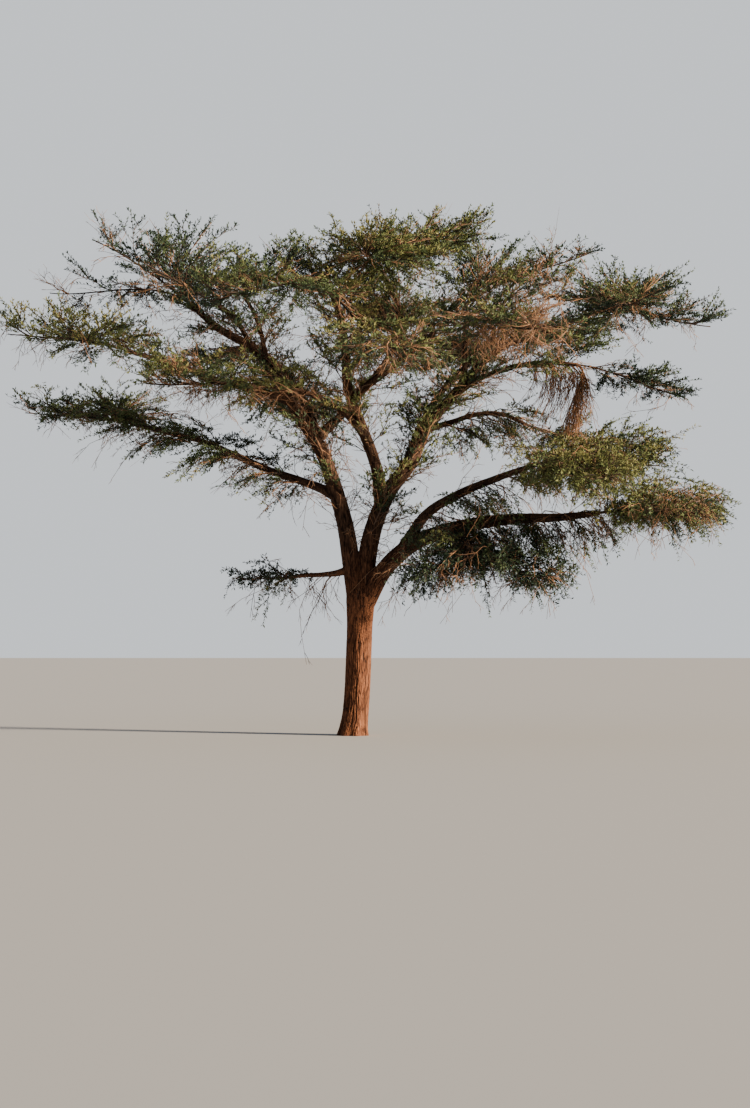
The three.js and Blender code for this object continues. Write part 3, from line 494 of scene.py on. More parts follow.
# Each row: the mass, its bough, the middle of its space, the half length, width and height, the bearing and
# rise of its length, how dense its twigs are, the share of them that is bare, how warm and light its leaves'
# colour is, partly painted shade that darkens the masses at the top left, and how many dry sprays hang from
# it.
CROWN = [
    ["left_top_tip", "left", [-3.05, -0.35, 6.9], [0.82, 0.75, 0.46], 182, 22, 0.5, 0.1, -0.1, 6],
    ["left_top_reach", "left", [-3.68, 0.5, 6.42], [1.0, 0.85, 0.4], 172, 8, 0.45, 0.1, -0.1, 6],
    ["left_top", "left", [-2.35, 0.3, 6.95], [0.96, 1.0, 0.5], 100, 20, 0.5, 0.1, 0, 6],
    ["left_top_back", "left_upright", [-2.3, 2.2, 6.78], [1.12, 1.1, 0.44], 118, 6, 0.5, 0.1, 0.06, 6],
    ["left_shoulder", "left_upright", [-1.25, 0.3, 6.75], [0.8, 0.9, 0.5], 30, 18, 0.8, 0.1, 0.16, 6],
    ["left_front", "left_front", [-2.35, -2.1, 6.24], [1.18, 1.06, 0.42], 250, 6, 0.5, 0.1, 0.1, 6],
    ["left_layer_tip", "left_layer", [-4.05, -0.9, 5.62], [0.96, 0.88, 0.36], 176, 6, 0.66, 0.1, 0.44, 6],
    ["left_layer", "left_layer", [-3.3, -2.1, 5.35], [1.08, 1.0, 0.42], 235, 4, 0.66, 0.1, 0.5, 6],
    ["left_low_tip", "left_low", [-4.1, 0.65, 4.72], [0.9, 0.88, 0.42], 196, 4, 1, 0.25, 0.36, 16],
    ["left_low", "left_low", [-3.45, 2.15, 4.8], [1.12, 1.06, 0.44], 118, 6, 1, 0.3, 0.36, 12],
    ["left_inner", "centre_left", [-2.0, -1.6, 4.85], [1.12, 0.92, 0.42], 196, 4, 1.2, 0.3, 0.46, 16],
    ["lowest", "left_lowest", [-1.2, 0.15, 2.34], [0.64, 0.5, 0.26], 178, -6, 1.3, 0.1, 0.08, 6],
    ["centre_top", "centre_top", [1.15, 0.25, 7.12], [1.08, 1.02, 0.52], 60, 14, 1.9, 0.1, 0.44, 6],
    ["centre_front_top", "centre_top", [0.4, -1.5, 6.5], [1.08, 1.06, 0.52], 250, 10, 1.65, 0.1, 0.54, 6],
    ["centre_left_top", "left_inner", [-0.25, 1.0, 6.65], [0.98, 1.0, 0.5], 170, 20, 1.25, 0.1, 0.36, 6],
    ["back_centre", "left_inner", [0.55, 2.65, 6.4], [1.22, 1.16, 0.48], 80, 14, 1.1, 0.1, 0.36, 6],
    ["centre_front_right", "centre_right", [2.1, -1.5, 6.05], [1.06, 1.06, 0.5], 10, 12, 1, 0.45, 0.36, 40],
    ["front_right", "centre_right", [1.9, -3.3, 5.35], [1.16, 1.04, 0.48], 300, 0, 1.1, 0.5, 0.36, 50],
    ["front_left", "centre", [-1.0, -3.5, 5.72], [1.14, 1.04, 0.44], 215, 6, 0.8, 0.1, 0.36, 6],
    ["front_centre", "centre", [0.4, -3.88, 5.02], [1.1, 1.0, 0.54], 290, 0, 1, 0.35, 0.48, 34],
    ["back_left", "back_left", [-2.25, 3.7, 5.74], [1.16, 1.04, 0.42], 140, 4, 0.9, 0.1, 0.36, 6],
    ["back_low", "back_left", [-0.95, 3.8, 5.1], [1.16, 1.0, 0.46], 60, 2, 1.2, 0.1, 0.36, 6],
    ["right_top", "right_upright", [2.1, 1.15, 6.82], [1.06, 1.0, 0.5], 90, 18, 1, 0.2, 0.2, 12],
    ["right_tuft", "right_upright", [2.9, 0.1, 6.8], [0.66, 0.66, 0.4], 350, 24, 1, 0.1, 0.16, 6],
    ["right_high", "right_high", [3.5, -1.9, 5.85], [1.06, 0.96, 0.46], 290, 6, 1, 0.1, 0.24, 6],
    ["right_far_high", "right_high", [3.8, 0.85, 6.42], [1.0, 1.05, 0.46], 60, 8, 1, 0.1, 0.2, 6],
    ["right_tip", "right_high", [4.35, -0.45, 5.92], [0.9, 0.78, 0.4], 0, -4, 1, 0.1, 0.14, 6],
    ["right_mid", "right_mid", [4.08, -0.5, 4.96], [0.8, 0.72, 0.32], 355, -12, 1.2, 0.1, 0.06, 6],
    ["twigs_dry_column", "right_mid", [2.95, -0.15, 4.62], [0.6, 0.26, 0.26], 0, -80, 0, 0, 0, 96],
    ["right_back_high", "back_right", [3.1, 2.9, 6.1], [1.16, 1.1, 0.46], 35, 6, 1.2, 0.1, 0.36, 6],
    ["right_back_low", "back_right", [1.5, 3.72, 5.9], [1.06, 1.0, 0.44], 110, 6, 1.2, 0.1, 0.36, 6],
    ["right_small", "right_arch", [3.65, 1.25, 4.3], [1.05, 0.82, 0.36], 10, 4, 1, 0.1, 0.36, 6],
    ["right_low_front", "low_right_upper", [2.9, -2.35, 3.62], [1.08, 1.0, 0.6], 300, 0, 1.8, 0.1, 0.68, 18],
    ["right_low_mid", "low_right_upper", [3.6, -0.75, 3.9], [1.02, 0.92, 0.48], 0, 0, 1.6, 0.1, 0.6, 12],
    ["right_low", "low_right", [4.1, -1.8, 3.2], [1.0, 0.9, 0.52], 320, -4, 1.7, 0.2, 0.54, 32],
    ["right_low_tip", "low_right", [4.48, -0.45, 3.3], [0.86, 0.85, 0.48], 25, 0, 1.9, 0.25, 0.36, 22],
    ["hanging_left", "hanging", [1.2, -1.3, 2.45], [0.74, 0.62, 0.5], 190, -14, 2.5, 0.25, 0.14, 20],
    ["hanging_right", "hanging", [2.28, -1.4, 2.42], [0.78, 0.62, 0.5], 345, -14, 2.5, 0.25, 0.16, 20],
]
MASSES = {name if name == DRY_MASS else "leaves_" + name:
          dict(bough="bough_" + bough, space=space, density=density, bare=bare, warmth=warmth, dry=dry)
          for name, bough, *space, density, bare, warmth, dry in CROWN}
SPACE_MARGIN = 0.016
DRAWN_STEP, DRAWN_STEPS = 0.08, 20  # a point outside its space is moved to the middle by steps of this share
STEM_END, STEM_LEVEL, STEM_LEAD = 0.74, -0.35, 0.3
STEM_SHARE = {1: 0.85, 2: 0.64, 3: 0.56}  # a stem's radius by the number that share a bough's tip
STEM_TIP_RADIUS, STEM_POINTS = 0.009, 61


def chance(seed, k):
    """A repeatable number from 0 to 1 for the k-th choice of a seed: the fraction of a large sine."""
    x = np.sin(12.9898 * np.asarray(k, float) + 78.233 * seed) * 43758.5453
    return x - np.floor(x)


def open_space(middle, half, bearing, rise):
    """An egg-shaped space with its length along a bearing and a rise, and no walls yet."""
    along, across = heading(bearing, rise), heading(bearing + 90, 0)
    axes = np.array([along, across, np.cross(along, across)])
    return dict(middle=np.array(middle), axes=axes, half=np.array(half), walls=[])


def divide(a, b):
    """Puts a wall between two spaces that would meet, where it shares the room by how far each reaches."""
    normal = b["middle"] - a["middle"]
    apart = np.linalg.norm(normal)
    normal = normal / apart
    reach = [np.linalg.norm(space["half"] * (space["axes"] @ normal)) for space in (a, b)]
    if sum(reach) < apart - SPACE_MARGIN:
        return
    wall = normal @ a["middle"] + apart * reach[0] / sum(reach)
    a["walls"].append((normal, wall - SPACE_MARGIN / 2))
    b["walls"].append((-normal, -wall - SPACE_MARGIN / 2))


def holds(space, points, slack=0.0):
    """Whether each point lies in a space, or no further outside it than slack."""
    out = np.linalg.norm((points - space["middle"]) @ space["axes"].T / (space["half"] + slack), axis=-1)
    inside = out <= 1
    for normal, offset in space["walls"]:
        inside &= points @ normal <= offset + slack
    return inside


def drawn_in(space, points):
    """Points moved towards the middle of a space, a small share of the way at a time, until it holds them."""
    inside = points.copy()
    for _ in range(DRAWN_STEPS):
        out = ~holds(space, inside)
        inside[out] += DRAWN_STEP * (space["middle"] - inside[out])
    return inside


spaces = {name: open_space(*mass["space"]) for name, mass in MASSES.items()}
for k, a in enumerate(spaces.values()):
    for b in list(spaces.values())[k + 1:]:
        divide(a, b)

stems = {}
for name, mass in MASSES.items():
    limb, space = LIMBS[mass["bough"]], spaces[name]
    lead = unit(limb["route"][-1] - limb["route"][-3])
    root = limb["route"][-1] - lead * limb["radius"][1]
    far = space["middle"] + space["axes"][0] * STEM_END * space["half"][0]
    far = drawn_in(space, (far + space["axes"][2] * STEM_LEVEL * space["half"][2])[None])[0]
    reach = np.linalg.norm(far - root) * STEM_LEAD
    u = np.linspace(0, 1, 2 * STEM_POINTS - 1)[:, None]
    bend = ((1 - u) ** 3 * root + 3 * u * (1 - u) ** 2 * (root + lead * reach)
            + 3 * u**2 * (1 - u) * (far - space["axes"][0] * reach) + u**3 * far)
    shared = sum(other["bough"] == mass["bough"] for other in MASSES.values())
    stems[name] = dict(route=evenly(bend, STEM_POINTS), radius=limb["radius"][1] * STEM_SHARE[shared])

# Twigs.
# A stem carries twigs whose ends are spread over its space in a spiral. They carry flat side twigs to both
# sides, and those carry short shoots. All are thin, a little crooked and dull brown, and the low ones hang.
TWIGS_PER_AREA = 27  # twigs for each square metre of a mass, seen from above
TWIG_SPREAD, TWIG_FIRST = 0.94, 0.7  # how far out the spiral of the ends goes, and where it starts
TWIG_SINK, TWIG_LEVELS = 0.42, 1.5  # how low the ends lie in their space, and how much of its height they use
TWIG_LEAD, TWIG_TURN, TWIG_RISE = 0.8, 0.8, 0.1  # how early a twig leaves its stem, and how it turns away
TWIG_KINK, TWIG_STEPS, TWIG_SIDES = 0.018, 8, 3
STEM_BARE, STEM_BACK, STEM_FIRST = 0.12, 8, 4  # where twigs begin: a share, and points of the stem's route
# What grows on a twig, and how: the number on each, the stretch of it that they stand on, the angles at which
# they turn from it and are lifted, their length, how much they shrink towards its tip, and their steps.
SIDE_TWIGS = [8, (0.15, 1), (18, 52), (-25, 30), (0.2, 0.6), 0.45, 2]
SHOOTS = [3, (0.12, 1), (22, 65), (-40, 60), (0.06, 0.16), 0.3, 1]
LONG_SHOOTS = [1, (0.6, 1), (5, 35), (-15, 35), (0.16, 0.42), 0.2, 2]
LEAFY_TWIGS = [(0, 0.96), (30, 75), (-40, 50), (0.35, 1), 0.2, 5]
LONG_SHOOT_EVERY, LONG_RISE = 7, 0.08
SIDE_FORWARD, SIDE_KINK = 0.25, 0.03
TWIG_RADIUS, SIDE_RADIUS, SHOOT_RADIUS = [0.0105, 0.004], [0.0048, 0.0022], [0.0026, 0.0014]
# The radii of each kind of twig, and the first of the choices that give each its colour.
KINDS = dict(twigs=(TWIG_RADIUS, 100), sides=(SIDE_RADIUS, 300), shoots=(SHOOT_RADIUS, 900),
             longest=(SHOOT_RADIUS, 2000))
STEM_TINT = 0.1
HANG, HANG_FROM, HANG_TO = 0.85, 5.2, 3.4  # how far low twigs bend down, and the heights it fades over
SHOOTS_HANG, LONG_SHOOTS_HANG = 0.6, 0.4  # how far their shoots do so, as shares of that
LOW_DROP, LEAFY_HANG = 0.9, [0.1, 0.5]  # the same for the twigs on low boughs, and for their side twigs
LEAFY_PER_METRE, LEAFY_STATIONS = 5.5, 17  # leafy twigs on the boughs themselves, and where they may stand
LEAFIER = dict(
    left=1.7, left_low=3.2, left_lowest=0.6, back_right=1.5, right=2.3, right_arch=2.6, right_mid=1.6,
    centre=2.1, centre_right=1.5, centre_top=1.8, low_right=3, low_right_upper=2.2, hanging=3)
LEAFY_FROM = {True: 0.24, False: 0.14}  # where along a main bough, and along any other, they begin
BARE_BOUGH_TWIGS, BARE_SPRAYS = 0.3, 0.08  # the shares of the twigs on boughs, and of all side twigs
SIDE_SLACK, SHOOT_SLACK = 0.08, 0.13  # how far side twigs and shoots may stand out of their space
BOX_SLACK = 0.17  # how far any twig may stand out of the box of the whole tree
TWIG_COLOURS = [(0.038, 0.024, 0.018), (0.08, 0.047, 0.03), (0.025, 0.019, 0.016)]
# The first, palest dry colour is partly painted light, for the sunlit curtain on the right.
DRY_COLOURS = [(0.35, 0.19, 0.105), (0.225, 0.122, 0.07), (0.14, 0.096, 0.072)]
# What hangs together in one piece: the masses of a part of the crown, named as in their table.
REGIONS = {region: ["leaves_" + name for name in names.split()] for region, names in dict(
    left_top="left_top_tip left_top_reach left_top left_top_back left_shoulder left_front",
    left_side="left_layer_tip left_layer left_low_tip left_low left_inner lowest",
    centre="centre_top centre_front_top centre_left_top centre_front_right",
    front="front_right front_left front_centre",
    back="back_centre back_left back_low right_back_low right_back_high",
    right_crown="right_top right_tuft right_high right_far_high right_tip right_mid right_small",
    right_side="right_low_front right_low_mid right_low right_low_tip",
    hanging="hanging_left hanging_right").items()}
REGIONS["along_boughs"] = list(LIMBS)


def lowness(height):
    """How low a height is: 0 from HANG_FROM up, 1 from HANG_TO down, and even between them."""
    return np.clip((HANG_FROM - height) / (HANG_FROM - HANG_TO), 0, 1)


def bent_lines(roots, leads, ends, kink, steps, rng):
    """Routes of many twigs: each leaves its root along its lead and bends over to its end, which is a
    parabola, with a random kink at each step, largest in the middle."""
    u = np.linspace(0, 1, steps + 1)[None, :, None]
    reach = np.linalg.norm(ends - roots, axis=-1, keepdims=True)
    control = roots + leads * reach * 0.5
    lines = (1 - u) ** 2 * roots[:, None] + 2 * u * (1 - u) * control[:, None] + u**2 * ends[:, None]
    return lines + rng.normal(0, kink, lines.shape) * reach[:, None] * np.sin(math.pi * u)


def on_lines(lines, own, share):
    """The points at shares along lines, each on its own line, and which way the line runs there."""
    place = share * (lines.shape[1] - 1)
    low = np.minimum(place.astype(int), lines.shape[1] - 2)
    stride = lines[own, low + 1] - lines[own, low]
    return lines[own, low] + stride * (place - low)[:, None], unit(stride)


def side_lines(lines, rng, down, count, span, turn, lift, length, shrink, steps):
    """Routes of side twigs: count of them along each line, over the stretch span, to both sides in turn. Each
    is turned from its line by an angle within turn, and raised by a roll about it within lift. Its length is
    within length, and shrinks towards the line's tip. down bends the ends down. Returned with the number of
    the line that each grows on."""
    own = np.repeat(np.arange(len(lines)), count)
    order = np.tile(np.arange(count), len(lines))
    share = span[0] + (span[1] - span[0]) * (order + rng.uniform(0, 1, len(own))) / count
    roots, along = on_lines(lines, own, share)
    across = unit(np.cross(along, [0, 0, 1.0]) + 1e-6)
    up = np.cross(across, along)
    side = np.where((order + own) % 2 == 0, 1.0, -1.0)[:, None]
    angle = np.radians(rng.uniform(*turn, len(own)))[:, None]
    roll = np.radians(rng.uniform(*lift, len(own)))[:, None]
    out = np.cos(angle) * along + np.sin(angle) * (side * np.cos(roll) * across + np.sin(roll) * up)
    size = (rng.uniform(*length, len(own)) * (1 - shrink * share))[:, None]
    ends = roots + unit(out + SIDE_FORWARD * along + [0, 0, -down]) * size
    return bent_lines(roots, out, ends, SIDE_KINK, steps, rng), own


def tapered(lines, radius):
    """Radii along many lines, from the first of a pair at the root to the second at the tip."""
    return np.broadcast_to(np.linspace(*radius, lines.shape[1]), lines.shape[:2])


def within_box(lines, slack):
    """Whether each line stays within the box of the solids, or no further outside it than slack."""
    low, high = np.array(solid_box[0]) - slack, np.array(solid_box[1]) + slack
    return ((lines >= low) & (lines <= high)).all(axis=(1, 2))


def grown_on(lines, habit, rng, down, box_slack, space=None, slack=0):
    """The side twigs that grow on some lines by a habit, and the number of the line under each. Those that
    stand too far out of the tree's box, or whose tips stand too far out of their space, are left out."""
    sides, own = side_lines(lines, rng, down, *habit)
    kept = within_box(sides, box_slack)
    if space:
        kept &= holds(space, sides[:, -1], slack)
    return sides[kept], own[kept]


def finer(twigs, space, down, bare, rng):
    """The side twigs of some twigs and their shoots, of which a few are long. down is how far they hang, and
    bare the share of the twigs that have died."""
    sides, of_twig = grown_on(twigs, SIDE_TWIGS, rng, down, BOX_SLACK, space, SIDE_SLACK)
    shoots, of_side = grown_on(sides, SHOOTS, rng, SHOOTS_HANG * down, BOX_SLACK, space, SHOOT_SLACK)
    longest, of_long = grown_on(sides[::LONG_SHOOT_EVERY], LONG_SHOOTS, rng,
                                LONG_SHOOTS_HANG * down - LONG_RISE, BOX_SLACK)
    of_long = of_long * LONG_SHOOT_EVERY
    live = rng.uniform(0, 1, len(twigs)) > bare
    leafy = live[of_twig] & (rng.uniform(0, 1, len(sides)) > BARE_SPRAYS)
    return dict(twigs=(twigs, live), sides=(sides, leafy), shoots=(shoots, leafy[of_side]),
                longest=(longest, leafy[of_long]), of_twig=of_twig, of_side=of_side, of_long=of_long)


LEAFY_SEED = 2500
growth = {}
for seed, (name, mass) in enumerate(MASSES.items(), start=1):
    rng = np.random.default_rng(seed)
    space, stem = spaces[name], stems[name]["route"]
    count = int(round(TWIGS_PER_AREA * mass["density"] * space["half"][0] * space["half"][1]))
    k = np.arange(count)
    angle = k * math.pi * (3 - math.sqrt(5)) + 2 * math.pi * chance(seed, 0)
    out = TWIG_SPREAD * np.sqrt((k + TWIG_FIRST) / count)
    level = (chance(seed, 1 + k) - TWIG_SINK) * TWIG_LEVELS * np.sqrt(1 - out**2)
    spread = np.stack([out * np.cos(angle), out * np.sin(angle), level], -1)
    ends = drawn_in(space, space["middle"] + (spread * space["half"]) @ space["axes"])
    inside = np.where(holds(space, stem) & (np.arange(STEM_POINTS) > STEM_BARE * STEM_POINTS))[0]
    first = inside[0] if len(inside) else STEM_POINTS // 2
    distance = np.linalg.norm(ends[:, None] - stem[None, first:], axis=-1)
    step = np.linalg.norm(np.diff(stem, axis=0), axis=1).mean()
    back = (TWIG_LEAD * distance.min(1) / step).astype(int)
    roots_at = np.clip(distance.argmin(1) + first - back, max(first - STEM_BACK, STEM_FIRST), STEM_POINTS - 2)
    leads = unit(stem[roots_at + 1] - stem[roots_at])
    leads = unit(leads + TWIG_TURN * unit(ends - stem[roots_at]) + [0, 0, TWIG_RISE])
    twigs = bent_lines(stem[roots_at], leads, ends, TWIG_KINK, TWIG_STEPS, rng)
    growth[name] = finer(twigs, space, HANG * lowness(space["middle"][2]), mass["bare"], rng)
for seed, (name, limb) in enumerate(LIMBS.items(), start=1):
    rng = np.random.default_rng(LEAFY_SEED + seed)
    begin = LEAFY_FROM[name in MAIN_BOUGHS]
    outer = at_share(limb["route"], np.linspace(begin, 1, LEAFY_STATIONS))[None]
    count = int(LEAFY_PER_METRE * LEAFIER.get(name.removeprefix("bough_"), 1) * limb["length"] * (1 - begin))
    down = LOW_DROP * lowness(limb["route"][-1, 2])
    twigs = side_lines(outer, rng, down, count, *LEAFY_TWIGS)[0]
    growth[name] = finer(twigs, None, LEAFY_HANG[0] + LEAFY_HANG[1] * down, BARE_BOUGH_TWIGS, rng)
seeds = {name: seed for seed, name in enumerate(growth, start=1)}


def plain_materials(names, colours, roughness, specular=0.2):
    """One plain material for each name and colour."""
    made = [bpy.data.materials.new(name) for name in names]
    for material, colour in zip(made, colours):
        material.use_nodes = True
        connect(material.node_tree.nodes["Principled BSDF"], {
            "Base Color": (*colour, 1), "Roughness": roughness, "Specular IOR Level": specular})
    return made


def deal_out(piece, materials, tints):
    """Gives a piece its materials and each face one of them, by the face's number from 0 to 1."""
    for material in materials:
        piece.data.materials.append(material)
    slots = np.clip(tints, 0, 0.999) * len(materials)
    piece.data.polygons.foreach_set("material_index", slots.astype(np.int32))


def stem_group(name, tip, tint):
    """The stem of a mass as a group for tube_piece, with its radius at the tip."""
    stem = stems[name]["route"][None, ::3]
    return stem, tapered(stem, [stems[name]["radius"], tip]), np.array([tint])


def tube_piece(name, groups, materials):
    """One piece from groups of lines, each group with its radii and a number from 0 to 1 for every line that
    deals out its colour."""
    shells = [tubes(lines, radii, TWIG_SIDES) for lines, radii, _ in groups]
    piece = mesh_piece(name, *merged(shells))
    tips = [tint for _, _, tint in groups]
    walls = [np.repeat(tint, len(quads) // len(tint)) for tint, (_, quads, _) in zip(tips, shells)]
    deal_out(piece, materials, np.concatenate(walls + tips))
    return piece


dry_materials = plain_materials(["dry_twig_1", "dry_twig_2", "dry_twig_3"], DRY_COLOURS, roughness=0.9)
twig_materials = plain_materials(["twig_1", "twig_2", "twig_3"], TWIG_COLOURS, roughness=0.85)
twig_materials += dry_materials
for region, names in REGIONS.items():
    groups = []
    for name in names:
        if name in stems:
            groups.append(stem_group(name, STEM_TIP_RADIUS, STEM_TINT))
        for key, (radius, first) in KINDS.items():
            lines, live = growth[name][key]
            tint = (chance(seeds[name], first + np.arange(len(lines))) + ~live) / 2
            groups.append((lines, tapered(lines, radius), tint))
    twig_piece = tube_piece(f"twigs_{region}", groups, twig_materials)
    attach(twig_piece, "root")

# Leaves.
# The leaves are feathery and small, and sit in tight tufts at every knot of a twig. Each is a narrow blade
# folded along its midrib. They are dull olive green, and each spray has its own shade of it; the leaves at a
# mass's top are lighter as painted light, and some whole masses are darker as painted shade.
LEAF_LENGTH, LEAF_WIDTH = [0.03, 0.066], 0.31  # the width is a share of the length
LEAF_WIDENS, LEAF_FOLD = (0.8, 1.3), 0.5  # how much the width varies, and how deep a leaf is folded
LEAVES_IN_TUFT, LEAF_SEED = 3, 500
LEAF_LEAN, LEAF_RISE, LEAF_TILT = (18, 66), 0.3, 0.6
TUFT_START = [0.31, 0.17, 0.93]  # any direction that no twig is likely to follow
TUFTS = dict(shoots=(0.55, 1), longest=(0.2, 0.36, 0.52, 0.68, 0.84, 1),
             sides=(0.3, 0.44, 0.58, 0.72, 0.86, 1), twigs=(0.6, 0.7, 0.8, 0.9, 1))  # shares along each
LEAF_COLOURS = [
    (0.025, 0.045, 0.029), (0.043, 0.069, 0.036), (0.07, 0.102, 0.042), (0.106, 0.136, 0.048),
    (0.154, 0.172, 0.058), (0.214, 0.208, 0.072), (0.155, 0.115, 0.058)]
BOUGH_WARMTH, USUAL_WARMTH = dict(bough_centre=0.66, bough_centre_left=0.58), 0.36
TOP_PAINTED_LIGHT = 0.18  # how much further along the colours, to lighter and yellower, the leaves at a mass's top are: painted light on the sunlit tops of the layers
TWIG_VARIES, SPRAY_VARIES, SPRAY_FOLLOWS = 0.16, 0.12, 0.6  # the last: how far a spray follows its twig


def leaf_blades(places, along, rng):
    """Blades for every tuft: a few stand round the twig, leaning forwards and a little up. Each has four
    corners, its root, two sides and its tip, and is folded upwards along the line from root to tip."""
    shape = (len(places), LEAVES_IN_TUFT)
    turn = 2 * math.pi * (np.arange(LEAVES_IN_TUFT)[None] / LEAVES_IN_TUFT + rng.uniform(0, 1, shape))
    lean = np.radians(rng.uniform(*LEAF_LEAN, shape))
    e1 = unit(np.cross(along, TUFT_START))
    e2 = np.cross(along, e1)
    out = np.cos(turn)[..., None] * e1[:, None] + np.sin(turn)[..., None] * e2[:, None]
    way = unit(np.cos(lean)[..., None] * along[:, None] + np.sin(lean)[..., None] * out + [0, 0, LEAF_RISE])
    flat = unit(np.array([0, 0, 1.0]) + LEAF_TILT * rng.normal(0, 1, (*shape, 3)))
    side = unit(np.cross(way, flat))
    normal = np.cross(side, way)
    length = rng.uniform(*LEAF_LENGTH, (*shape, 1))
    half = length * LEAF_WIDTH / 2 * rng.uniform(*LEAF_WIDENS, (*shape, 1))
    root = np.broadcast_to(places[:, None], way.shape)
    belly = root + 0.5 * length * way + LEAF_FOLD * half * normal
    corners = np.stack([root, belly + half * side, root + length * way, belly - half * side], -2)
    return corners.reshape(-1, 3)


leaf_materials = plain_materials([f"leaf_{k + 1}" for k in range(7)], LEAF_COLOURS, roughness=0.6)
for region, names in REGIONS.items():
    corners, tints = [], []
    for name in names:
        rng = np.random.default_rng(LEAF_SEED + seeds[name])
        grown, space = growth[name], spaces.get(name)
        # A mass's warmth is partly its leaves' own colour and partly painted shade, lower for the shaded
        # masses at the top left.
        warmth = MASSES[name]["warmth"] if space else BOUGH_WARMTH.get(name, USUAL_WARMTH)
        ends, height = grown["sides"][0][:, -1], 0
        if space:
            height = (ends - space["middle"]) @ space["axes"][2] / space["half"][2]
        twig_tint = TWIG_VARIES * rng.normal(0, 1, len(grown["twigs"][0]))
        # The tops of the masses are painted lighter and yellower: painted light where the sun falls on the
        # layers.
        side_tint = (warmth + TOP_PAINTED_LIGHT * height + SPRAY_VARIES * rng.normal(0, 1, len(ends))
                     + SPRAY_FOLLOWS * twig_tint[grown["of_twig"]])
        tint = dict(shoots=side_tint[grown["of_side"]], longest=side_tint[grown["of_long"]],
                    sides=side_tint, twigs=warmth + twig_tint)
        for key, shares in TUFTS.items():
            lines, live = grown[key]
            own = np.repeat(np.flatnonzero(live), len(shares))
            corners.append(leaf_blades(*on_lines(lines, own, np.tile(shares, live.sum())), rng))
            tints.append(np.repeat(tint[key][own], LEAVES_IN_TUFT * 2))
    points = np.vstack(corners)
    first = np.arange(0, len(points), 4)[:, None]
    faces = np.stack([first + [0, 1, 2], first + [0, 2, 3]], 1).reshape(-1, 3)
    leaves = mesh_piece(f"foliage_{region}", points, triangles=faces, smooth=False)
    deal_out(leaves, leaf_materials, np.concatenate(tints))
    if names[0] in spaces:
        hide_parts(*names)
    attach(leaves, "root")

# Dry twigs.
# Old twigs that died in the shade stay on: bare, orange-brown and brittle, in tangles that hang under the
# living layers. A dense curtain hangs from a bough on the right, in the paler colours as painted light, and
# bare spurs stand all along the boughs.
DRY_TURN, DRY_KINK, DRY_STEPS = 0.6, 0.03, 4
DRY_SIDES = [5, (0.15, 1), (20, 60), (-60, 60), (0.1, 0.32), 0.4, 2]
DRY_ENDS = [2, (0.2, 1), (20, 60), (-60, 60), (0.05, 0.15), 0.3, 1]
DRY_RADII = [0.0064, 0.0028], [0.0044, 0.0022], [0.0032, 0.0018]
DRY_REACH, DRY_DROP, DRY_HANG = [0.3, 0.75], (-65, 0), 0.35
# The curtain takes only the paler dry colours: painted light, as if the sun lit it.
CURTAIN_REACH, CURTAIN_DROP, CURTAIN_PAINTED_LIGHT_TINTS = [0.35, 0.95], (-89, -72), 0.5
CURTAIN_FROM, CURTAIN_STEM = 0.66, 40  # where it begins along its bough, and where it ends on its stem
SPURS_PER_METRE, SPUR_REACH, SPUR_SPAN = 11, [0.25, 1.0], (0.12, 0.98)
SPUR_LEAN, SPUR_SPREAD, SPUR_HANG = 0.5, [1, 1, 0.8], 0.1
SPUR_DROP, LOW_SPUR_LONGER, LOW_SPUR_HANG = 1.5, 0.5, 0.3  # and how those of the lowest boughs differ
DRY_SLACK, DRY_STEM_TINT = 0.12, 0.5
DRY_SEED, SPUR_SEED = 900, 1700


def dry_sprays(roots, leads, out, reach, rng, down, tints):
    """Groups for tube_piece of bare sprays: main twigs from their roots, side twigs and finer ones. tints is
    the share of the colours that they take, from the first."""
    ends = roots + out * rng.uniform(*reach, len(roots))[:, None]
    main = bent_lines(roots, unit(leads + DRY_TURN * out), ends, DRY_KINK, DRY_STEPS, rng)
    main = main[within_box(main, DRY_SLACK)]
    sides, _ = grown_on(main, DRY_SIDES, rng, down, DRY_SLACK)
    fine, _ = grown_on(sides, DRY_ENDS, rng, down, DRY_SLACK)
    return [(lines, tapered(lines, radius), rng.uniform(0, tints, len(lines)))
            for lines, radius in zip((main, sides, fine), DRY_RADII)]


dry_groups = []
for seed, name in enumerate(spaces, start=1):
    rng = np.random.default_rng(DRY_SEED + seed)
    count = MASSES[name]["dry"]
    bearing = rng.uniform(0, 360, count)
    if name == DRY_MASS:
        arch, stem = LIMBS["bough_right_mid"]["route"], stems[name]["route"]
        carrier = np.vstack([arch[int(CURTAIN_FROM * len(arch))::2], stem[:CURTAIN_STEM]])[None]
        # The curtain keeps to the paler colours, as painted light.
        drop, reach, tints = rng.uniform(*CURTAIN_DROP, count), CURTAIN_REACH, CURTAIN_PAINTED_LIGHT_TINTS
    else:
        carrier = growth[name]["twigs"][0]
        drop, reach, tints = rng.uniform(*DRY_DROP, count), DRY_REACH, 1
    own, at = rng.integers(0, len(carrier), count), rng.integers(0, carrier.shape[1] - 1, count)
    roots = carrier[own, at]
    leads = unit(carrier[own, at + 1] - roots)
    dry_groups += dry_sprays(roots, leads, heading(bearing, drop), reach, rng, DRY_HANG, tints)
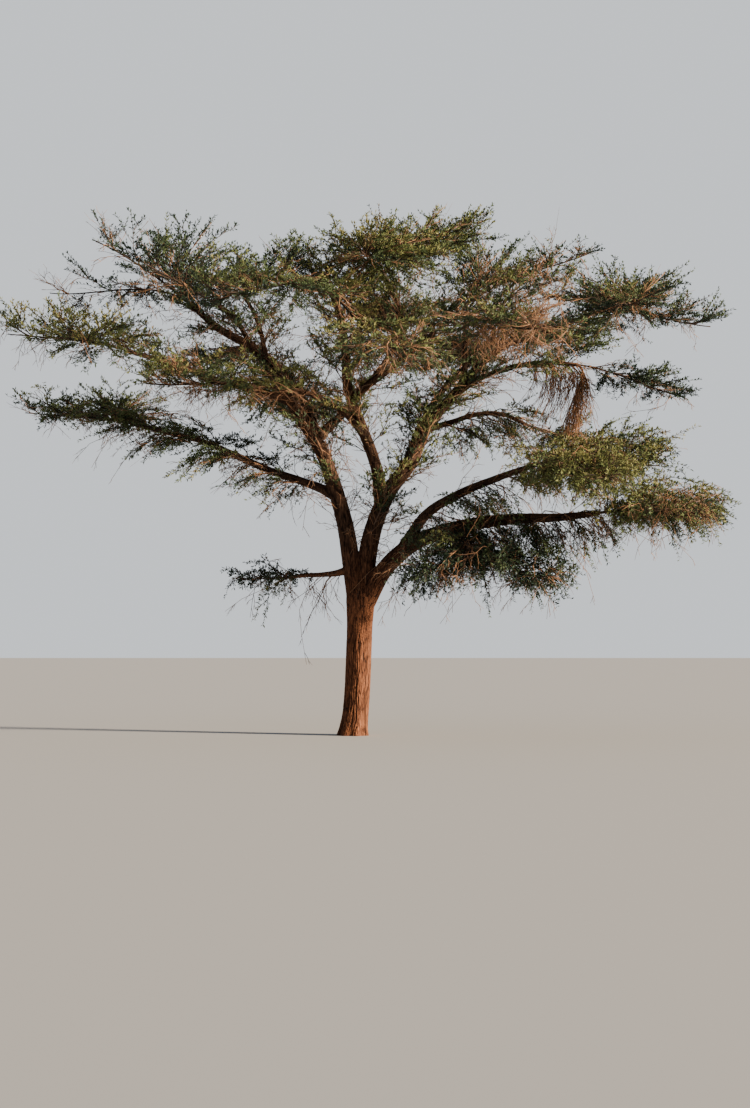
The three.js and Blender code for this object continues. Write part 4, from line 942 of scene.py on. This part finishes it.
for seed, limb in enumerate(LIMBS.values(), start=1):
    rng = np.random.default_rng(SPUR_SEED + seed)
    count = int(limb["length"] * SPURS_PER_METRE)
    at = (rng.uniform(*SPUR_SPAN, count) * (ROUTE_POINTS - 2)).astype(int)
    leads = unit(limb["route"][at + 1] - limb["route"][at])
    low = lowness(limb["route"][-1, 2])
    out = unit(rng.normal(0, 1, (count, 3)) * SPUR_SPREAD + SPUR_LEAN * leads - [0, 0, SPUR_DROP * low])
    reach = np.array(SPUR_REACH) * (1 + LOW_SPUR_LONGER * low)
    dry_groups += dry_sprays(limb["route"][at], leads, out, reach, rng, SPUR_HANG + LOW_SPUR_HANG * low, 1)
dry_groups.append(stem_group(DRY_MASS, TWIG_RADIUS[1], DRY_STEM_TINT))
dry = tube_piece("dry_twigs", dry_groups, dry_materials)
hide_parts(DRY_MASS)
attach(dry, "root")

# Floor, light and camera.
# A pale floor and a pale surround, a low warm key light from the right and slightly in front, and a soft
# cool fill. The camera stands at eye height, as far off as the size of the tree in the picture tells.
FLOOR_REACH = 60
floor_points = FLOOR_REACH * np.array([[-1, -1, 0], [1, -1, 0], [1, 1, 0], [-1, 1, 0.0]])
floor = mesh_piece("floor", floor_points, quads=np.array([[0, 1, 2, 3]]), smooth=False)
plain = plain_materials(["pale_floor"], [(0.55, 0.55, 0.54)], roughness=0.9, specular=0.5)
floor.data.materials.append(plain[0])

world = bpy.data.worlds.new("surround")
world.use_nodes = True
tree = world.node_tree
fill = tree.nodes["Background"]
connect(fill, {"Color": (0.74, 0.84, 1.0, 1), "Strength": 0.26})
backdrop = add_node(tree, "Background", {"Color": (0.84, 0.88, 0.92, 1)})
seen = add_node(tree, "LightPath", {}).outputs["Is Camera Ray"]
either = add_node(tree, "MixShader", {"Fac": seen, 1: fill.outputs[0], 2: backdrop.outputs[0]})
connect(tree.nodes["World Output"], {"Surface": either.outputs[0]})
bpy.context.scene.world = world
key = bpy.data.lights.new("key", "SUN")
key.energy = 16
key.angle = math.radians(6)
key.color = (1.0, 0.82, 0.62)
key_light = placed("key", key)
key_light.rotation_euler = Vector((-0.88, 0.32, -0.18)).to_track_quat("-Z", "Y").to_euler()

camera = bpy.data.cameras.new("camera")
camera.lens = 64.2
camera.clip_end = 300
camera_object = placed("camera", camera)
camera_object.location = (0.305, -28, 1.6)
camera_object.rotation_euler = (math.radians(90 + 1.97), 0, 0)
bpy.context.scene.camera = camera_object
